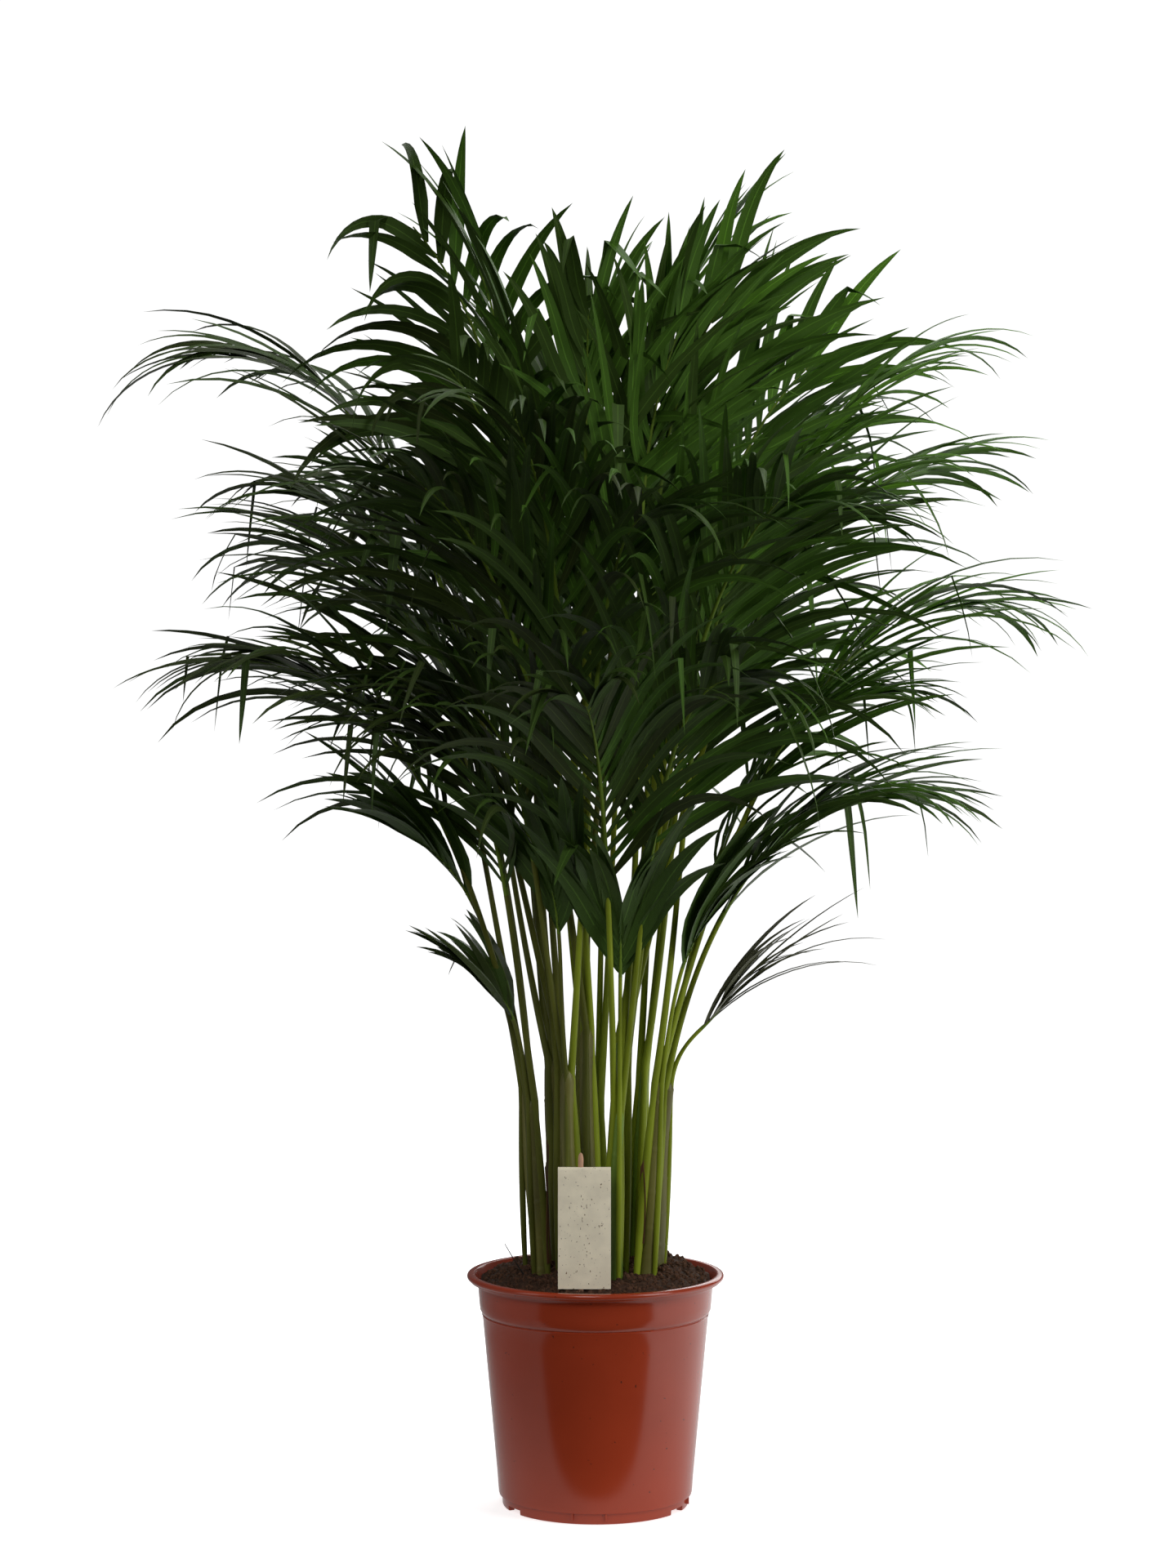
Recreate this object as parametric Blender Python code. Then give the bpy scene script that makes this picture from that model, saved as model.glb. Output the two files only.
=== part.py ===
"""Potted areca palm: nursery pot, soil, blank label, canes and feather-shaped fronds.

Units are metres and +Z is up. The pot stands on Z = 0 round the origin, and the side
that carries the label faces -Y. Every frond is one closed mesh: a three-sided rib whose
side faces grow out into kite-shaped leaflets, with open air between them.
"""
import math
import random
from collections import namedtuple

import bmesh
import bpy
import numpy as np
from mathutils import Vector
from mathutils.bvhtree import BVHTree

GAP = 0.0003
UP = np.array((0.0, 0.0, 1.0))

# Pot: 24 cm nursery pot, wall and floor as turned profiles
POT_HEIGHT = 0.2165
POT_RIM_RADIUS = 0.120
POT_LIP_INNER_RADIUS = 0.1135
POT_COLLAR_RADIUS = 0.1098
POT_COLLAR_BOTTOM = 0.183
POT_BODY_TOP_RADIUS = 0.1053
POT_BODY_TOP = 0.1775
POT_BODY_FOOT_RADIUS = 0.0903
POT_FOOT_TOP = 0.012
POT_FOOT_RADIUS = 0.0868
POT_FOOT_INNER_RADIUS = 0.0800
POT_FOOT_RECESS = 0.0050
POT_FLOOR_TOP = 0.0090
POT_HUB_RADIUS = 0.025
POT_WALL = 0.0024
POT_SEGMENTS = 72
NOTCH_BEARINGS = (29.5, 150.5, 209.5, 330.5)
NOTCH_WIDTH = 0.022
DRAIN_COUNT = 6
DRAIN_CIRCLE = 0.060
DRAIN_RADIUS = 0.0055

# Soil: a plug in the pot, level under the canes and falling to the wall
SOIL_TOP = 0.221
SOIL_EDGE_TOP = 0.2095
SOIL_LEVEL_RADIUS = 0.076
SOIL_SEGMENTS = 36

# Blank card label on a wooden stake
LABEL_WIDTH = 0.048
LABEL_THICK = 0.006
LABEL_FOOT = 0.2172
LABEL_TOP = 0.328
LABEL_X = -0.0104
LABEL_Y = -0.0905
STAKE_X = -0.0137
STAKE_WIDTH = 0.0045
STAKE_THICK = 0.003
STAKE_TOP = 0.341

# Canes: rings of upright stems, each with up to three fronds on its top
CANE_RINGS = ((9, 0.056, 8.0, 0.170, 4.0), (5, 0.027, 40.0, 0.210, 1.5))
CANE_WAVE = 0.02
CANE_FOOT_RADIUS = 0.0072
CANE_TOP_RADIUS = 0.0066
CANE_SIDES = 8
FRONDS_PER_CANE = 3
FROND_FOOT_OFFSET = 0.0036

# Rib and leaflet sizes of the fronds
RIB_FOOT = 0.0023
RIB_MIDDLE = 0.0027
RIB_MIDDLE_SHARE = 0.2
RIB_TIP = 0.0013
RIB_CLEAR_FOOT = 0.0058
RIB_CLEAR = 0.0066
PETIOLE_STATIONS = 6
LEAFLET_ROOT = 0.011
LEAFLET_THICK = 0.0029
LEAFLET_MID = 0.5
LEAFLET_BULK = 1.28
PAIR_SHARE = 0.53
LOWER_SIDE_PULL = 0.6
OUTWARD_PULL = 0.1
LEAFLET_TRIES = 26
FROND_TRIES = 160

Cane = namedtuple("Cane", "x y lean bearing height")
Frond = namedtuple("Frond", "name heading reach height pitch roll style bow", defaults=(0.0,))
Style = namedtuple("Style", "bare pairs leaf width spread rise droop")
Leaflet = namedtuple("Leaflet", "side root corners tip")

STYLES = {
    "tall": Style(0.46, 14, 0.27, 0.0190, 1.0, 20.0, 0.75),
    "plume": Style(0.46, 14, 0.26, 0.0190, 1.25, 6.0, 0.90),
    "arching": Style(0.40, 15, 0.28, 0.0175, 1.0, 12.0, 1.00),
    "young": Style(0.62, 7, 0.20, 0.0240, 0.8, 20.0, 0.60),
    "sprout": Style(0.62, 7, 0.14, 0.0200, 0.8, 20.0, 0.60),
}

# Fronds that can be told apart in the view from the front: heading in degrees from +X,
# reach from the pot's axis, height of the rib's tip, its pitch, and the blade's roll
SEEN = (
    Frond("top_left", 190, 0.170, 1.185, 42, -66, "plume"),
    Frond("top_left_front", 214, 0.160, 1.050, 40, -40, "plume"),
    Frond("left_long", 180, 0.345, 1.065, -2, 10, "arching"),
    Frond("left_low", 186, 0.310, 0.800, 0, 0, "arching"),
    Frond("left_mid_back", 160, 0.285, 0.945, 18, 10, "arching"),
    Frond("left_mid_front", 199, 0.265, 0.915, 4, -12, "arching"),
    Frond("left_drop", 214, 0.190, 0.720, 10, 0, "arching"),
    Frond("left_small", 188, 0.165, 0.620, 30, 0, "young"),
    Frond("left_foot", 192, 0.095, 0.480, 36, 0, "sprout"),
    Frond("top_right", 350, 0.130, 1.130, 50, 62, "tall"),
    Frond("right_arch", 2, 0.335, 0.835, 4, 0, "arching"),
    Frond("right_low", 352, 0.235, 0.655, 12, 0, "arching"),
    Frond("right_upper", 14, 0.290, 1.060, 32, 0, "arching"),
    Frond("right_mid", 4, 0.300, 0.965, 16, 10, "arching"),
    Frond("right_front", 336, 0.215, 0.920, 10, 20, "arching"),
    Frond("right_back", 20, 0.225, 1.075, 40, 62, "tall"),
    Frond("right_fan", 8, 0.225, 0.740, 20, 0, "arching"),
    Frond("right_dry", 357, 0.116, 0.465, 62, 0, "young"),
    Frond("right_short", 335, 0.110, 0.545, 52, 0, "young"),
    Frond("front_left_young", 243, 0.095, 0.590, 62, 0, "young"),
    Frond("front_young", 284, 0.095, 0.550, 62, 0, "young"),
)

# Fronds between them: name, count, first heading, sweep, reach, height, pitch, style
TIERS = (
    ("crown", 6, 30.0, 360.0, 0.110, 1.105, 64.0, "tall"),
    ("front", 4, 236.0, 92.0, 0.260, 0.940, 20.0, "arching"),
    ("back", 5, 45.0, 104.0, 0.270, 0.960, 22.0, "arching"),
    ("skirt_front", 3, 238.0, 96.0, 0.210, 0.760, 14.0, "arching"),
    ("skirt_back", 3, 52.0, 110.0, 0.230, 0.780, 14.0, "arching"),
)

# Base colour, roughness and metallic value of each part
LOOKS = {
    "pot": ((0.30, 0.058, 0.026), 0.30, 0.0),
    "soil": ((0.035, 0.022, 0.014), 0.95, 0.0),
    "label": ((0.60, 0.52, 0.40), 0.80, 0.0),
    "cane": ((0.26, 0.27, 0.07), 0.55, 0.0),
    "frond": ((0.035, 0.085, 0.018), 0.42, 0.0),
}


def clear_scene():
    for thing in list(bpy.data.objects):
        bpy.data.objects.remove(thing, do_unlink=True)


def material(node, kind):
    colour, roughness, metallic = LOOKS[kind]
    made = bpy.data.materials.new(node)
    made.use_nodes = True
    shader = made.node_tree.nodes["Principled BSDF"]
    shader.inputs["Base Color"].default_value = (*colour, 1.0)
    shader.inputs["Roughness"].default_value = roughness
    shader.inputs["Metallic"].default_value = metallic
    return made


def add_object(node, vertices, faces, kind):
    mesh = bpy.data.meshes.new(node)
    mesh.from_pydata([tuple(v) for v in vertices], [], faces)
    work = bmesh.new()
    work.from_mesh(mesh)
    bmesh.ops.recalc_face_normals(work, faces=work.faces)
    work.to_mesh(mesh)
    work.free()
    mesh.materials.append(material(node, kind))
    made = bpy.data.objects.new(node, mesh)
    bpy.context.scene.collection.objects.link(made)
    return made


def add_cutter(name, vertices, faces):
    mesh = bpy.data.meshes.new(name)
    mesh.from_pydata([tuple(v) for v in vertices], [], faces)
    work = bmesh.new()
    work.from_mesh(mesh)
    bmesh.ops.recalc_face_normals(work, faces=work.faces)
    work.to_mesh(mesh)
    work.free()
    cutter = bpy.data.objects.new(name, mesh)
    cutter.hide_render = True
    cutter.display_type = "WIRE"
    bpy.context.scene.collection.objects.link(cutter)
    return cutter


def boolean(target, cutter, operation):
    change = target.modifiers.new(cutter.name, "BOOLEAN")
    change.operation = operation
    change.object = cutter


def smooth(made, degrees):
    made.data.shade_smooth()
    made.data.set_sharp_from_angle(angle=math.radians(degrees))


def turned(profile, segments):
    """A closed turned solid from (radius, height) points that start and end on the axis."""
    vertices = [(0.0, 0.0, profile[0][1])]
    rings = profile[1:-1]
    for radius, height in rings:
        for i in range(segments):
            angle = math.tau * i / segments
            vertices.append((radius * math.cos(angle), radius * math.sin(angle), height))
    vertices.append((0.0, 0.0, profile[-1][1]))
    last = len(vertices) - 1
    faces = []
    for i in range(segments):
        j = (i + 1) % segments
        faces.append((0, 1 + j, 1 + i))
        for k in range(len(rings) - 1):
            low = 1 + k * segments
            high = low + segments
            faces.append((low + i, low + j, high + j, high + i))
        top = 1 + (len(rings) - 1) * segments
        faces.append((top + i, top + j, last))
    return vertices, faces


def box(centre, size, turn=0.0):
    cosine = math.cos(math.radians(turn))
    sine = math.sin(math.radians(turn))
    vertices = []
    for z in (-0.5, 0.5):
        for x, y in ((-0.5, -0.5), (0.5, -0.5), (0.5, 0.5), (-0.5, 0.5)):
            dx = x * size[0]
            dy = y * size[1]
            vertices.append((centre[0] + dx * cosine - dy * sine,
                             centre[1] + dx * sine + dy * cosine,
                             centre[2] + z * size[2]))
    faces = [(0, 3, 2, 1), (4, 5, 6, 7)]
    for i in range(4):
        j = (i + 1) % 4
        faces.append((i, j, j + 4, i + 4))
    return vertices, faces


def pot_body_radius(height):
    share = (height - POT_FOOT_TOP) / (POT_BODY_TOP - POT_FOOT_TOP)
    return POT_BODY_FOOT_RADIUS + share * (POT_BODY_TOP_RADIUS - POT_BODY_FOOT_RADIUS)


def pot_outline():
    lip = 0.0055
    outer = [
        (0.0, 0.0),
        (POT_HUB_RADIUS, 0.0),
        (POT_HUB_RADIUS + 0.001, POT_FOOT_RECESS),
        (POT_FOOT_INNER_RADIUS, POT_FOOT_RECESS),
        (POT_FOOT_INNER_RADIUS + 0.001, 0.0),
        (POT_FOOT_RADIUS - 0.0008, 0.0),
        (POT_FOOT_RADIUS, 0.0008),
        (POT_FOOT_RADIUS + 0.0004, POT_FOOT_TOP - 0.002),
        (pot_body_radius(POT_FOOT_TOP) - 0.0005, POT_FOOT_TOP - 0.002),
        (pot_body_radius(POT_FOOT_TOP), POT_FOOT_TOP),
        (POT_BODY_TOP_RADIUS, POT_BODY_TOP),
        (POT_BODY_TOP_RADIUS + 0.0004, POT_BODY_TOP + 0.0018),
        (POT_COLLAR_RADIUS - 0.0024, POT_COLLAR_BOTTOM - 0.0010),
        (POT_COLLAR_RADIUS - 0.0020, POT_COLLAR_BOTTOM),
        (POT_COLLAR_RADIUS, POT_HEIGHT - 0.0105),
        (POT_COLLAR_RADIUS + 0.0012, POT_HEIGHT - 0.0085),
        (POT_RIM_RADIUS - 0.0022, POT_HEIGHT - 0.0068),
    ]
    for i in range(5):
        angle = math.radians(-60.0 + 150.0 * i / 4)
        outer.append((POT_RIM_RADIUS - lip / 2 + lip / 2 * math.cos(angle),
                      POT_HEIGHT - lip / 2 + lip / 2 * math.sin(angle)))
    return outer


def pot_bore():
    """The inner wall from the lip down to the floor, one wall inside the outline."""
    return [
        (POT_LIP_INNER_RADIUS, POT_HEIGHT),
        (POT_LIP_INNER_RADIUS - 0.0012, POT_HEIGHT - 0.0012),
        (POT_COLLAR_RADIUS - POT_WALL, POT_HEIGHT - 0.0105),
        (POT_COLLAR_RADIUS - 0.0020 - POT_WALL, POT_COLLAR_BOTTOM + 0.001),
        (POT_BODY_TOP_RADIUS - POT_WALL, POT_BODY_TOP),
        (pot_body_radius(POT_FOOT_TOP) - POT_WALL, POT_FOOT_TOP),
        (pot_body_radius(POT_FOOT_TOP) - POT_WALL - 0.002, POT_FLOOR_TOP),
    ]


def build_pot():
    profile = pot_outline() + pot_bore() + [(0.0, POT_FLOOR_TOP)]
    pot = add_object("pot", *turned(profile, POT_SEGMENTS), "pot")
    for i, bearing in enumerate(NOTCH_BEARINGS):
        angle = math.radians(bearing)
        radius = POT_FOOT_RADIUS
        centre = (radius * math.cos(angle), radius * math.sin(angle), 0.0)
        size = (0.020, NOTCH_WIDTH, 2 * (POT_FOOT_RECESS - GAP))
        boolean(pot, add_cutter(f"notch_{i + 1}", *box(centre, size, bearing)), "DIFFERENCE")
    drill = [(0.0, 0.003), (DRAIN_RADIUS, 0.003), (DRAIN_RADIUS, 0.011), (0.0, 0.011)]
    for i in range(DRAIN_COUNT):
        angle = math.tau * (i + 0.5) / DRAIN_COUNT
        vertices, faces = turned(drill, 12)
        x = DRAIN_CIRCLE * math.cos(angle)
        y = DRAIN_CIRCLE * math.sin(angle)
        vertices = [(v[0] + x, v[1] + y, v[2]) for v in vertices]
        boolean(pot, add_cutter(f"drain_{i + 1}", vertices, faces), "DIFFERENCE")
    smooth(pot, 28.0)


def build_soil():
    profile = [(0.0, POT_FLOOR_TOP + GAP)]
    for radius, height in reversed(pot_bore()[2:]):
        lift = GAP if height == POT_FLOOR_TOP else 0.0
        profile.append((radius - 2 * GAP, height + lift))
    wall = pot_bore()[2]
    edge = wall[0] - 2 * GAP
    profile[-1] = (edge - 0.0004, wall[1])
    profile += [
        (edge + 0.0004, SOIL_EDGE_TOP - 0.001),
        (edge - 0.004, SOIL_EDGE_TOP + 0.002),
        ((edge + SOIL_LEVEL_RADIUS) / 2, (SOIL_EDGE_TOP + SOIL_TOP) / 2),
        (SOIL_LEVEL_RADIUS, SOIL_TOP),
        (0.0, SOIL_TOP),
    ]
    soil = add_object("soil", *turned(profile, SOIL_SEGMENTS), "soil")
    smooth(soil, 35.0)


def build_label():
    height = LABEL_TOP - LABEL_FOOT
    centre = (LABEL_X, LABEL_Y, LABEL_FOOT + height / 2)
    label = add_object("label", *box(centre, (LABEL_WIDTH, LABEL_THICK, height)), "label")
    depth = 0.01
    stake_height = STAKE_TOP - LABEL_TOP + depth
    centre = (STAKE_X, LABEL_Y, STAKE_TOP - stake_height / 2)
    stake = add_cutter("stake", *box(centre, (STAKE_WIDTH, STAKE_THICK, stake_height)))
    boolean(label, stake, "UNION")


def unit(v):
    return v / np.linalg.norm(v)


def bearing_vector(degrees):
    angle = math.radians(degrees)
    return np.array((math.cos(angle), math.sin(angle), 0.0))


def canes():
    found = []
    for count, radius, turn, height, lean in CANE_RINGS:
        for i in range(count):
            bearing = turn + 360.0 * i / count
            foot = bearing_vector(bearing) * radius
            found.append(Cane(foot[0], foot[1], lean, bearing, height + CANE_WAVE * math.sin(2.4 * i)))
    return found


def cane_ends(cane):
    foot = np.array((cane.x, cane.y, SOIL_TOP + GAP))
    lean = math.radians(cane.lean)
    way = math.sin(lean) * bearing_vector(cane.bearing) + math.cos(lean) * UP
    return foot, foot + way * cane.height


def build_cane(index, cane):
    vertices = []
    for centre, radius in zip(cane_ends(cane), (CANE_FOOT_RADIUS, CANE_TOP_RADIUS)):
        for i in range(CANE_SIDES):
            angle = math.tau * i / CANE_SIDES
            vertices.append(centre + radius * np.array((math.cos(angle), math.sin(angle), 0.0)))
    faces = [tuple(reversed(range(CANE_SIDES))), tuple(range(CANE_SIDES, 2 * CANE_SIDES))]
    for i in range(CANE_SIDES):
        j = (i + 1) % CANE_SIDES
        faces.append((i, j, j + CANE_SIDES, i + CANE_SIDES))
    smooth(add_object(f"cane_{index + 1:02d}", vertices, faces, "cane"), 50.0)


def fronds():
    found = list(SEEN)
    chance = random.Random(11)
    for name, count, turn, sweep, reach, height, pitch, style in TIERS:
        for i in range(count):
            heading = (turn + sweep * i / count + chance.uniform(-6, 6)) % 360
            found.append(Frond(f"{name}_{i + 1}", heading, reach * chance.uniform(0.85, 1.12),
                               height + chance.uniform(-0.06, 0.05), pitch + chance.uniform(-8, 8),
                               chance.uniform(-28, 28), style))
    return found


def seats():
    """Gives each frond, lowest first, the nearest free seat on the canes' tops."""
    stems = canes()
    free = {}
    for i, cane in enumerate(stems):
        free[i] = [cane.bearing + 360.0 * k / FRONDS_PER_CANE for k in range(FRONDS_PER_CANE)]
    made = []
    for frond in sorted(fronds(), key=lambda f: f.height):
        ahead = bearing_vector(frond.heading)
        want = ahead * (0.02 if frond.style in ("tall", "plume") else 0.06)
        open_canes = [i for i in free if free[i]]
        chosen = min(open_canes, key=lambda i: math.hypot(stems[i].x - want[0], stems[i].y - want[1]))
        seat = max(free[chosen], key=lambda bearing: float(bearing_vector(bearing) @ ahead))
        free[chosen].remove(seat)
        top = cane_ends(stems[chosen])[1]
        made.append((frond, top + bearing_vector(seat) * FROND_FOOT_OFFSET + UP * GAP))
    return made


def spine(frond, base):
    """The rib's cubic curve, and the level direction that it bends towards."""
    tip = bearing_vector(frond.heading) * frond.reach + UP * frond.height
    out = (tip - base) * (1.0, 1.0, 0.0)
    out = unit(out)
    chord = np.linalg.norm(tip - base)
    lean = math.radians(4 + 12 * min(1.0, frond.reach / 0.4) + frond.bow)
    start = math.sin(lean) * out + math.cos(lean) * UP
    pitch = math.radians(frond.pitch)
    end = math.cos(pitch) * out + math.sin(pitch) * UP
    return (base, base + start * chord * 0.5, tip - end * chord * 0.25, tip), out


def on_curve(points, t):
    p0, p1, p2, p3 = points
    s = 1 - t
    place = s**3 * p0 + 3 * s * s * t * p1 + 3 * s * t * t * p2 + t**3 * p3
    way = 3 * s * s * (p1 - p0) + 6 * s * t * (p2 - p1) + 3 * t * t * (p3 - p2)
    return place, unit(way)


def rib_frame(frond, points, out, t):
    """Place, direction, side and upper side of the rib at a share of its curve."""
    place, along = on_curve(points, t)
    if t == 0:
        along = UP
    normal = unit(np.cross(np.array((out[1], -out[0], 0.0)), along))
    side = np.cross(along, normal)
    turn = math.radians(frond.roll) * min(1.0, t / STYLES[frond.style].bare)
    return (place, along, math.cos(turn) * side + math.sin(turn) * normal,
            math.cos(turn) * normal - math.sin(turn) * side)


def leaflet_line(root, way, out, normal, length, droop, shares):
    """Points along one leaflet, that bends down and towards its own lower side."""
    level = unit((way - normal * LOWER_SIDE_PULL + out * OUTWARD_PULL) * (1.0, 1.0, 0.0))
    rise = math.atan2(way[2], math.hypot(way[0], way[1]))
    points = []
    place = root
    steps = 8
    for i in range(steps):
        share = (i + 1) / steps
        slope = max(-1.45, rise - droop * share**1.6)
        bent = math.cos(slope) * level + math.sin(slope) * UP
        heading = unit(way * max(0.0, 1 - 2.5 * share) + bent * min(1.0, 2.5 * share))
        place = place + heading * length / steps
        points.append(place)
    return [points[round(share * steps) - 1] for share in shares]


def rib_size(t):
    """Half the rib's width: slim on the cane's top, widest a little above, then tapering."""
    if t < RIB_MIDDLE_SHARE:
        return RIB_FOOT + (RIB_MIDDLE - RIB_FOOT) * t / RIB_MIDDLE_SHARE
    return RIB_MIDDLE + (RIB_TIP - RIB_MIDDLE) * (t - RIB_MIDDLE_SHARE) / (1 - RIB_MIDDLE_SHARE)


def rib_corners(frond, points, out, t, swell=0.0):
    """Upper left, upper right and lower corner of the three-sided rib."""
    place, _, side, normal = rib_frame(frond, points, out, t)
    size = rib_size(t) + swell
    return (place - side * size + normal * size * 0.6,
            place + side * size + normal * size * 0.6,
            place - normal * size)


def pair_count(frond):
    return max(4, round(STYLES[frond.style].pairs * PAIR_SHARE))


def curve_length(points):
    places = [on_curve(points, i / 16)[0] for i in range(17)]
    return sum(np.linalg.norm(b - a) for a, b in zip(places, places[1:]))


def pair_span(frond, points, k):
    """Start and end, as shares of the rib, of the stretch that pair k grows from."""
    bare = STYLES[frond.style].bare
    middle = bare + (1 - bare) * (k + 0.5) / pair_count(frond)
    half = LEAFLET_ROOT / 2 / curve_length(points)
    return middle - half, middle + half


def stations(frond, points):
    bare = STYLES[frond.style].bare
    found = [bare * i / PETIOLE_STATIONS for i in range(PETIOLE_STATIONS)]
    for k in range(pair_count(frond)):
        found.extend(pair_span(frond, points, k))
    found.append(1.0)
    return found


def line_gap(a, b):
    """Least distance between two polylines, from each pair of their straight pieces."""
    a0 = a[:-1, None]
    b0 = b[None, :-1]
    u = a[1:, None] - a0
    v = b[None, 1:] - b0
    w = a0 - b0
    uu = (u * u).sum(-1)
    uv = (u * v).sum(-1)
    vv = (v * v).sum(-1)
    uw = (u * w).sum(-1)
    vw = (v * w).sum(-1)
    s = np.clip((uv * vw - vv * uw) / np.maximum(uu * vv - uv * uv, 1e-12), 0, 1)
    t = np.clip((uv * s + vw) / vv, 0, 1)
    s = np.clip((uv * t - uw) / uu, 0, 1)
    return np.linalg.norm(w + u * s[..., None] - v * t[..., None], axis=-1).min()


def clear_spines():
    """Swings each rib a little until it keeps clear of the canes and earlier ribs."""
    stems = [np.array(cane_ends(cane)) for cane in canes()]
    placed = []
    found = []
    seen = [frond.name for frond in SEEN]
    for frond, base in sorted(seats(), key=lambda seat: seat[0].name not in seen):
        chance = random.Random(sum(map(ord, frond.name)))
        for attempt in range(FROND_TRIES):
            swing = chance.uniform(-0.2, 0.2) * attempt
            lift = chance.uniform(-0.0004, 0.0004) * attempt
            bow = chance.uniform(-0.08, 0.08) * attempt
            trial = frond._replace(heading=frond.heading + swing, height=frond.height + lift, bow=bow)
            points, out = spine(trial, base)
            line = np.array([on_curve(points, t)[0] for t in stations(trial, points)])
            near = [line_gap(line[1:], stem) - CANE_FOOT_RADIUS - 0.003 for stem in stems]
            near += [line_gap(line, other) - RIB_CLEAR_FOOT for other in placed]
            near += [line_gap(line[2:], other[2:]) - RIB_CLEAR for other in placed]
            if min(near) > 0:
                break
        else:
            raise ValueError(f"{frond.name} finds no clear way")
        placed.append(line)
        found.append((trial, points, out))
    return found


def leaflet_shape(frond, points, out, k, sign, change, shrink):
    """Root corners, middle corners and tip of one leaflet, on the source's growing rule."""
    style = STYLES[frond.style]
    chance = random.Random(sum(map(ord, frond.name)) * 97 + k * 2 + (sign > 0))
    start, end = pair_span(frond, points, k)
    u = k / (pair_count(frond) - 1)
    place, along, side, normal = rib_frame(frond, points, out, (start + end) / 2)
    angle = math.radians(46 - 22 * u + chance.uniform(-5, 5) + change[0]) * style.spread
    rise = math.radians(style.rise + chance.uniform(-12, 12) + change[1])
    way = math.cos(angle) * along + math.sin(angle) * (math.cos(rise) * sign * side
                                                       + math.sin(rise) * normal)
    profile = 0.74 + 0.26 * math.sin(math.pi * min(1, u * 1.2 + 0.15)) - 0.22 * u
    length = style.leaf * profile * chance.uniform(0.92, 1.05) * shrink
    droop = style.droop * chance.uniform(0.55, 1.45)
    middle, tip = leaflet_line(place, way, out, normal, length, droop, (LEAFLET_MID, 1.0))
    heading = unit(middle - place)
    width = unit(along - heading * float(along @ heading))
    thick = np.cross(heading, width) * sign
    if thick @ normal < 0:
        thick = -thick
    half = style.width * (0.8 + 0.2 * profile) * LEAFLET_BULK / 2
    edge = 1 if sign > 0 else 0
    before = rib_corners(frond, points, out, start)
    after = rib_corners(frond, points, out, end)
    root = (before[edge], after[edge], after[2], before[2])
    return Leaflet(sign, root, (middle, width, thick, half), tip)


def leaflet_corners(leaflet, swell=0.0):
    middle, width, thick, half = leaflet.corners
    wide = width * (half + swell)
    deep = thick * (LEAFLET_THICK / 2 + swell)
    return (middle - wide + deep, middle + wide + deep, middle + wide - deep, middle - wide - deep)


def leaflet_solid(leaflet, swell):
    vertices = list(leaflet.root) + list(leaflet_corners(leaflet, swell)) + [leaflet.tip]
    faces = [(0, 1, 2, 3)]
    for i in range(4):
        j = (i + 1) % 4
        faces.append((i, j, j + 4, i + 4))
        faces.append((i + 4, j + 4, 8))
    return vertices, faces


class Space:
    """Bodies already placed, kept with their boxes, that a new one has to stay clear of."""

    def __init__(self):
        self.low = []
        self.high = []
        self.trees = []
        self.owners = []

    def add(self, vertices, faces, owner):
        spread = np.array(vertices)
        self.low.append(spread.min(axis=0))
        self.high.append(spread.max(axis=0))
        self.trees.append(BVHTree.FromPolygons([Vector(v) for v in vertices], faces))
        self.owners.append(owner)

    def hits(self, vertices, faces, owner):
        spread = np.array(vertices)
        near = np.all(np.array(self.low) <= spread.max(axis=0), axis=1)
        near &= np.all(np.array(self.high) >= spread.min(axis=0), axis=1)
        tree = BVHTree.FromPolygons([Vector(v) for v in vertices], faces)
        for i in np.flatnonzero(near):
            if self.owners[i] != owner and tree.overlap(self.trees[i]):
                return True
        return False


def rib_solid(frond, points, out, swell):
    places = stations(frond, points)
    vertices = []
    faces = [(2, 1, 0)]
    for t in places:
        vertices.extend(rib_corners(frond, points, out, t, swell))
    for i in range(len(places) - 1):
        for a, b in ((0, 1), (1, 2), (2, 0)):
            faces.append((3 * i + a, 3 * i + b, 3 * i + 3 + b, 3 * i + 3 + a))
    last = 3 * len(places) - 3
    faces.append((last, last + 1, last + 2))
    return vertices, faces


def grow_leaflets(limbs):
    """Places the leaflets frond by frond; one that finds no clear place is left out."""
    space = Space()
    for cane in canes():
        foot, top = cane_ends(cane)
        middle = (foot + top) / 2
        wide = 2 * CANE_FOOT_RADIUS + cane.height * math.sin(math.radians(cane.lean))
        space.add(*box(middle, (wide, wide, cane.height)), "cane")
    for frond, points, out in limbs:
        space.add(*rib_solid(frond, points, out, 0.0006), frond.name)
    order = sorted(range(len(limbs)), key=lambda i: (limbs[i][0].name not in {f.name for f in SEEN},
                                                     -limbs[i][0].height))
    grown = {}
    for i in order:
        frond, points, out = limbs[i]
        kept = {}
        for k in reversed(range(pair_count(frond))):
            for sign in (-1, 1):
                chance = random.Random(k * 31 + sign)
                for attempt in range(LEAFLET_TRIES):
                    change = (chance.uniform(-2, 2) * attempt, chance.uniform(-3, 3) * attempt)
                    leaflet = leaflet_shape(frond, points, out, k, sign, change, 1 - 0.02 * attempt)
                    solid = leaflet_solid(leaflet, 0.0005)
                    if not space.hits(*solid, frond.name):
                        space.add(*solid, f"{frond.name} leaflet")
                        kept[(k, sign)] = leaflet
                        break
        grown[frond.name] = kept
    return grown


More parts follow.
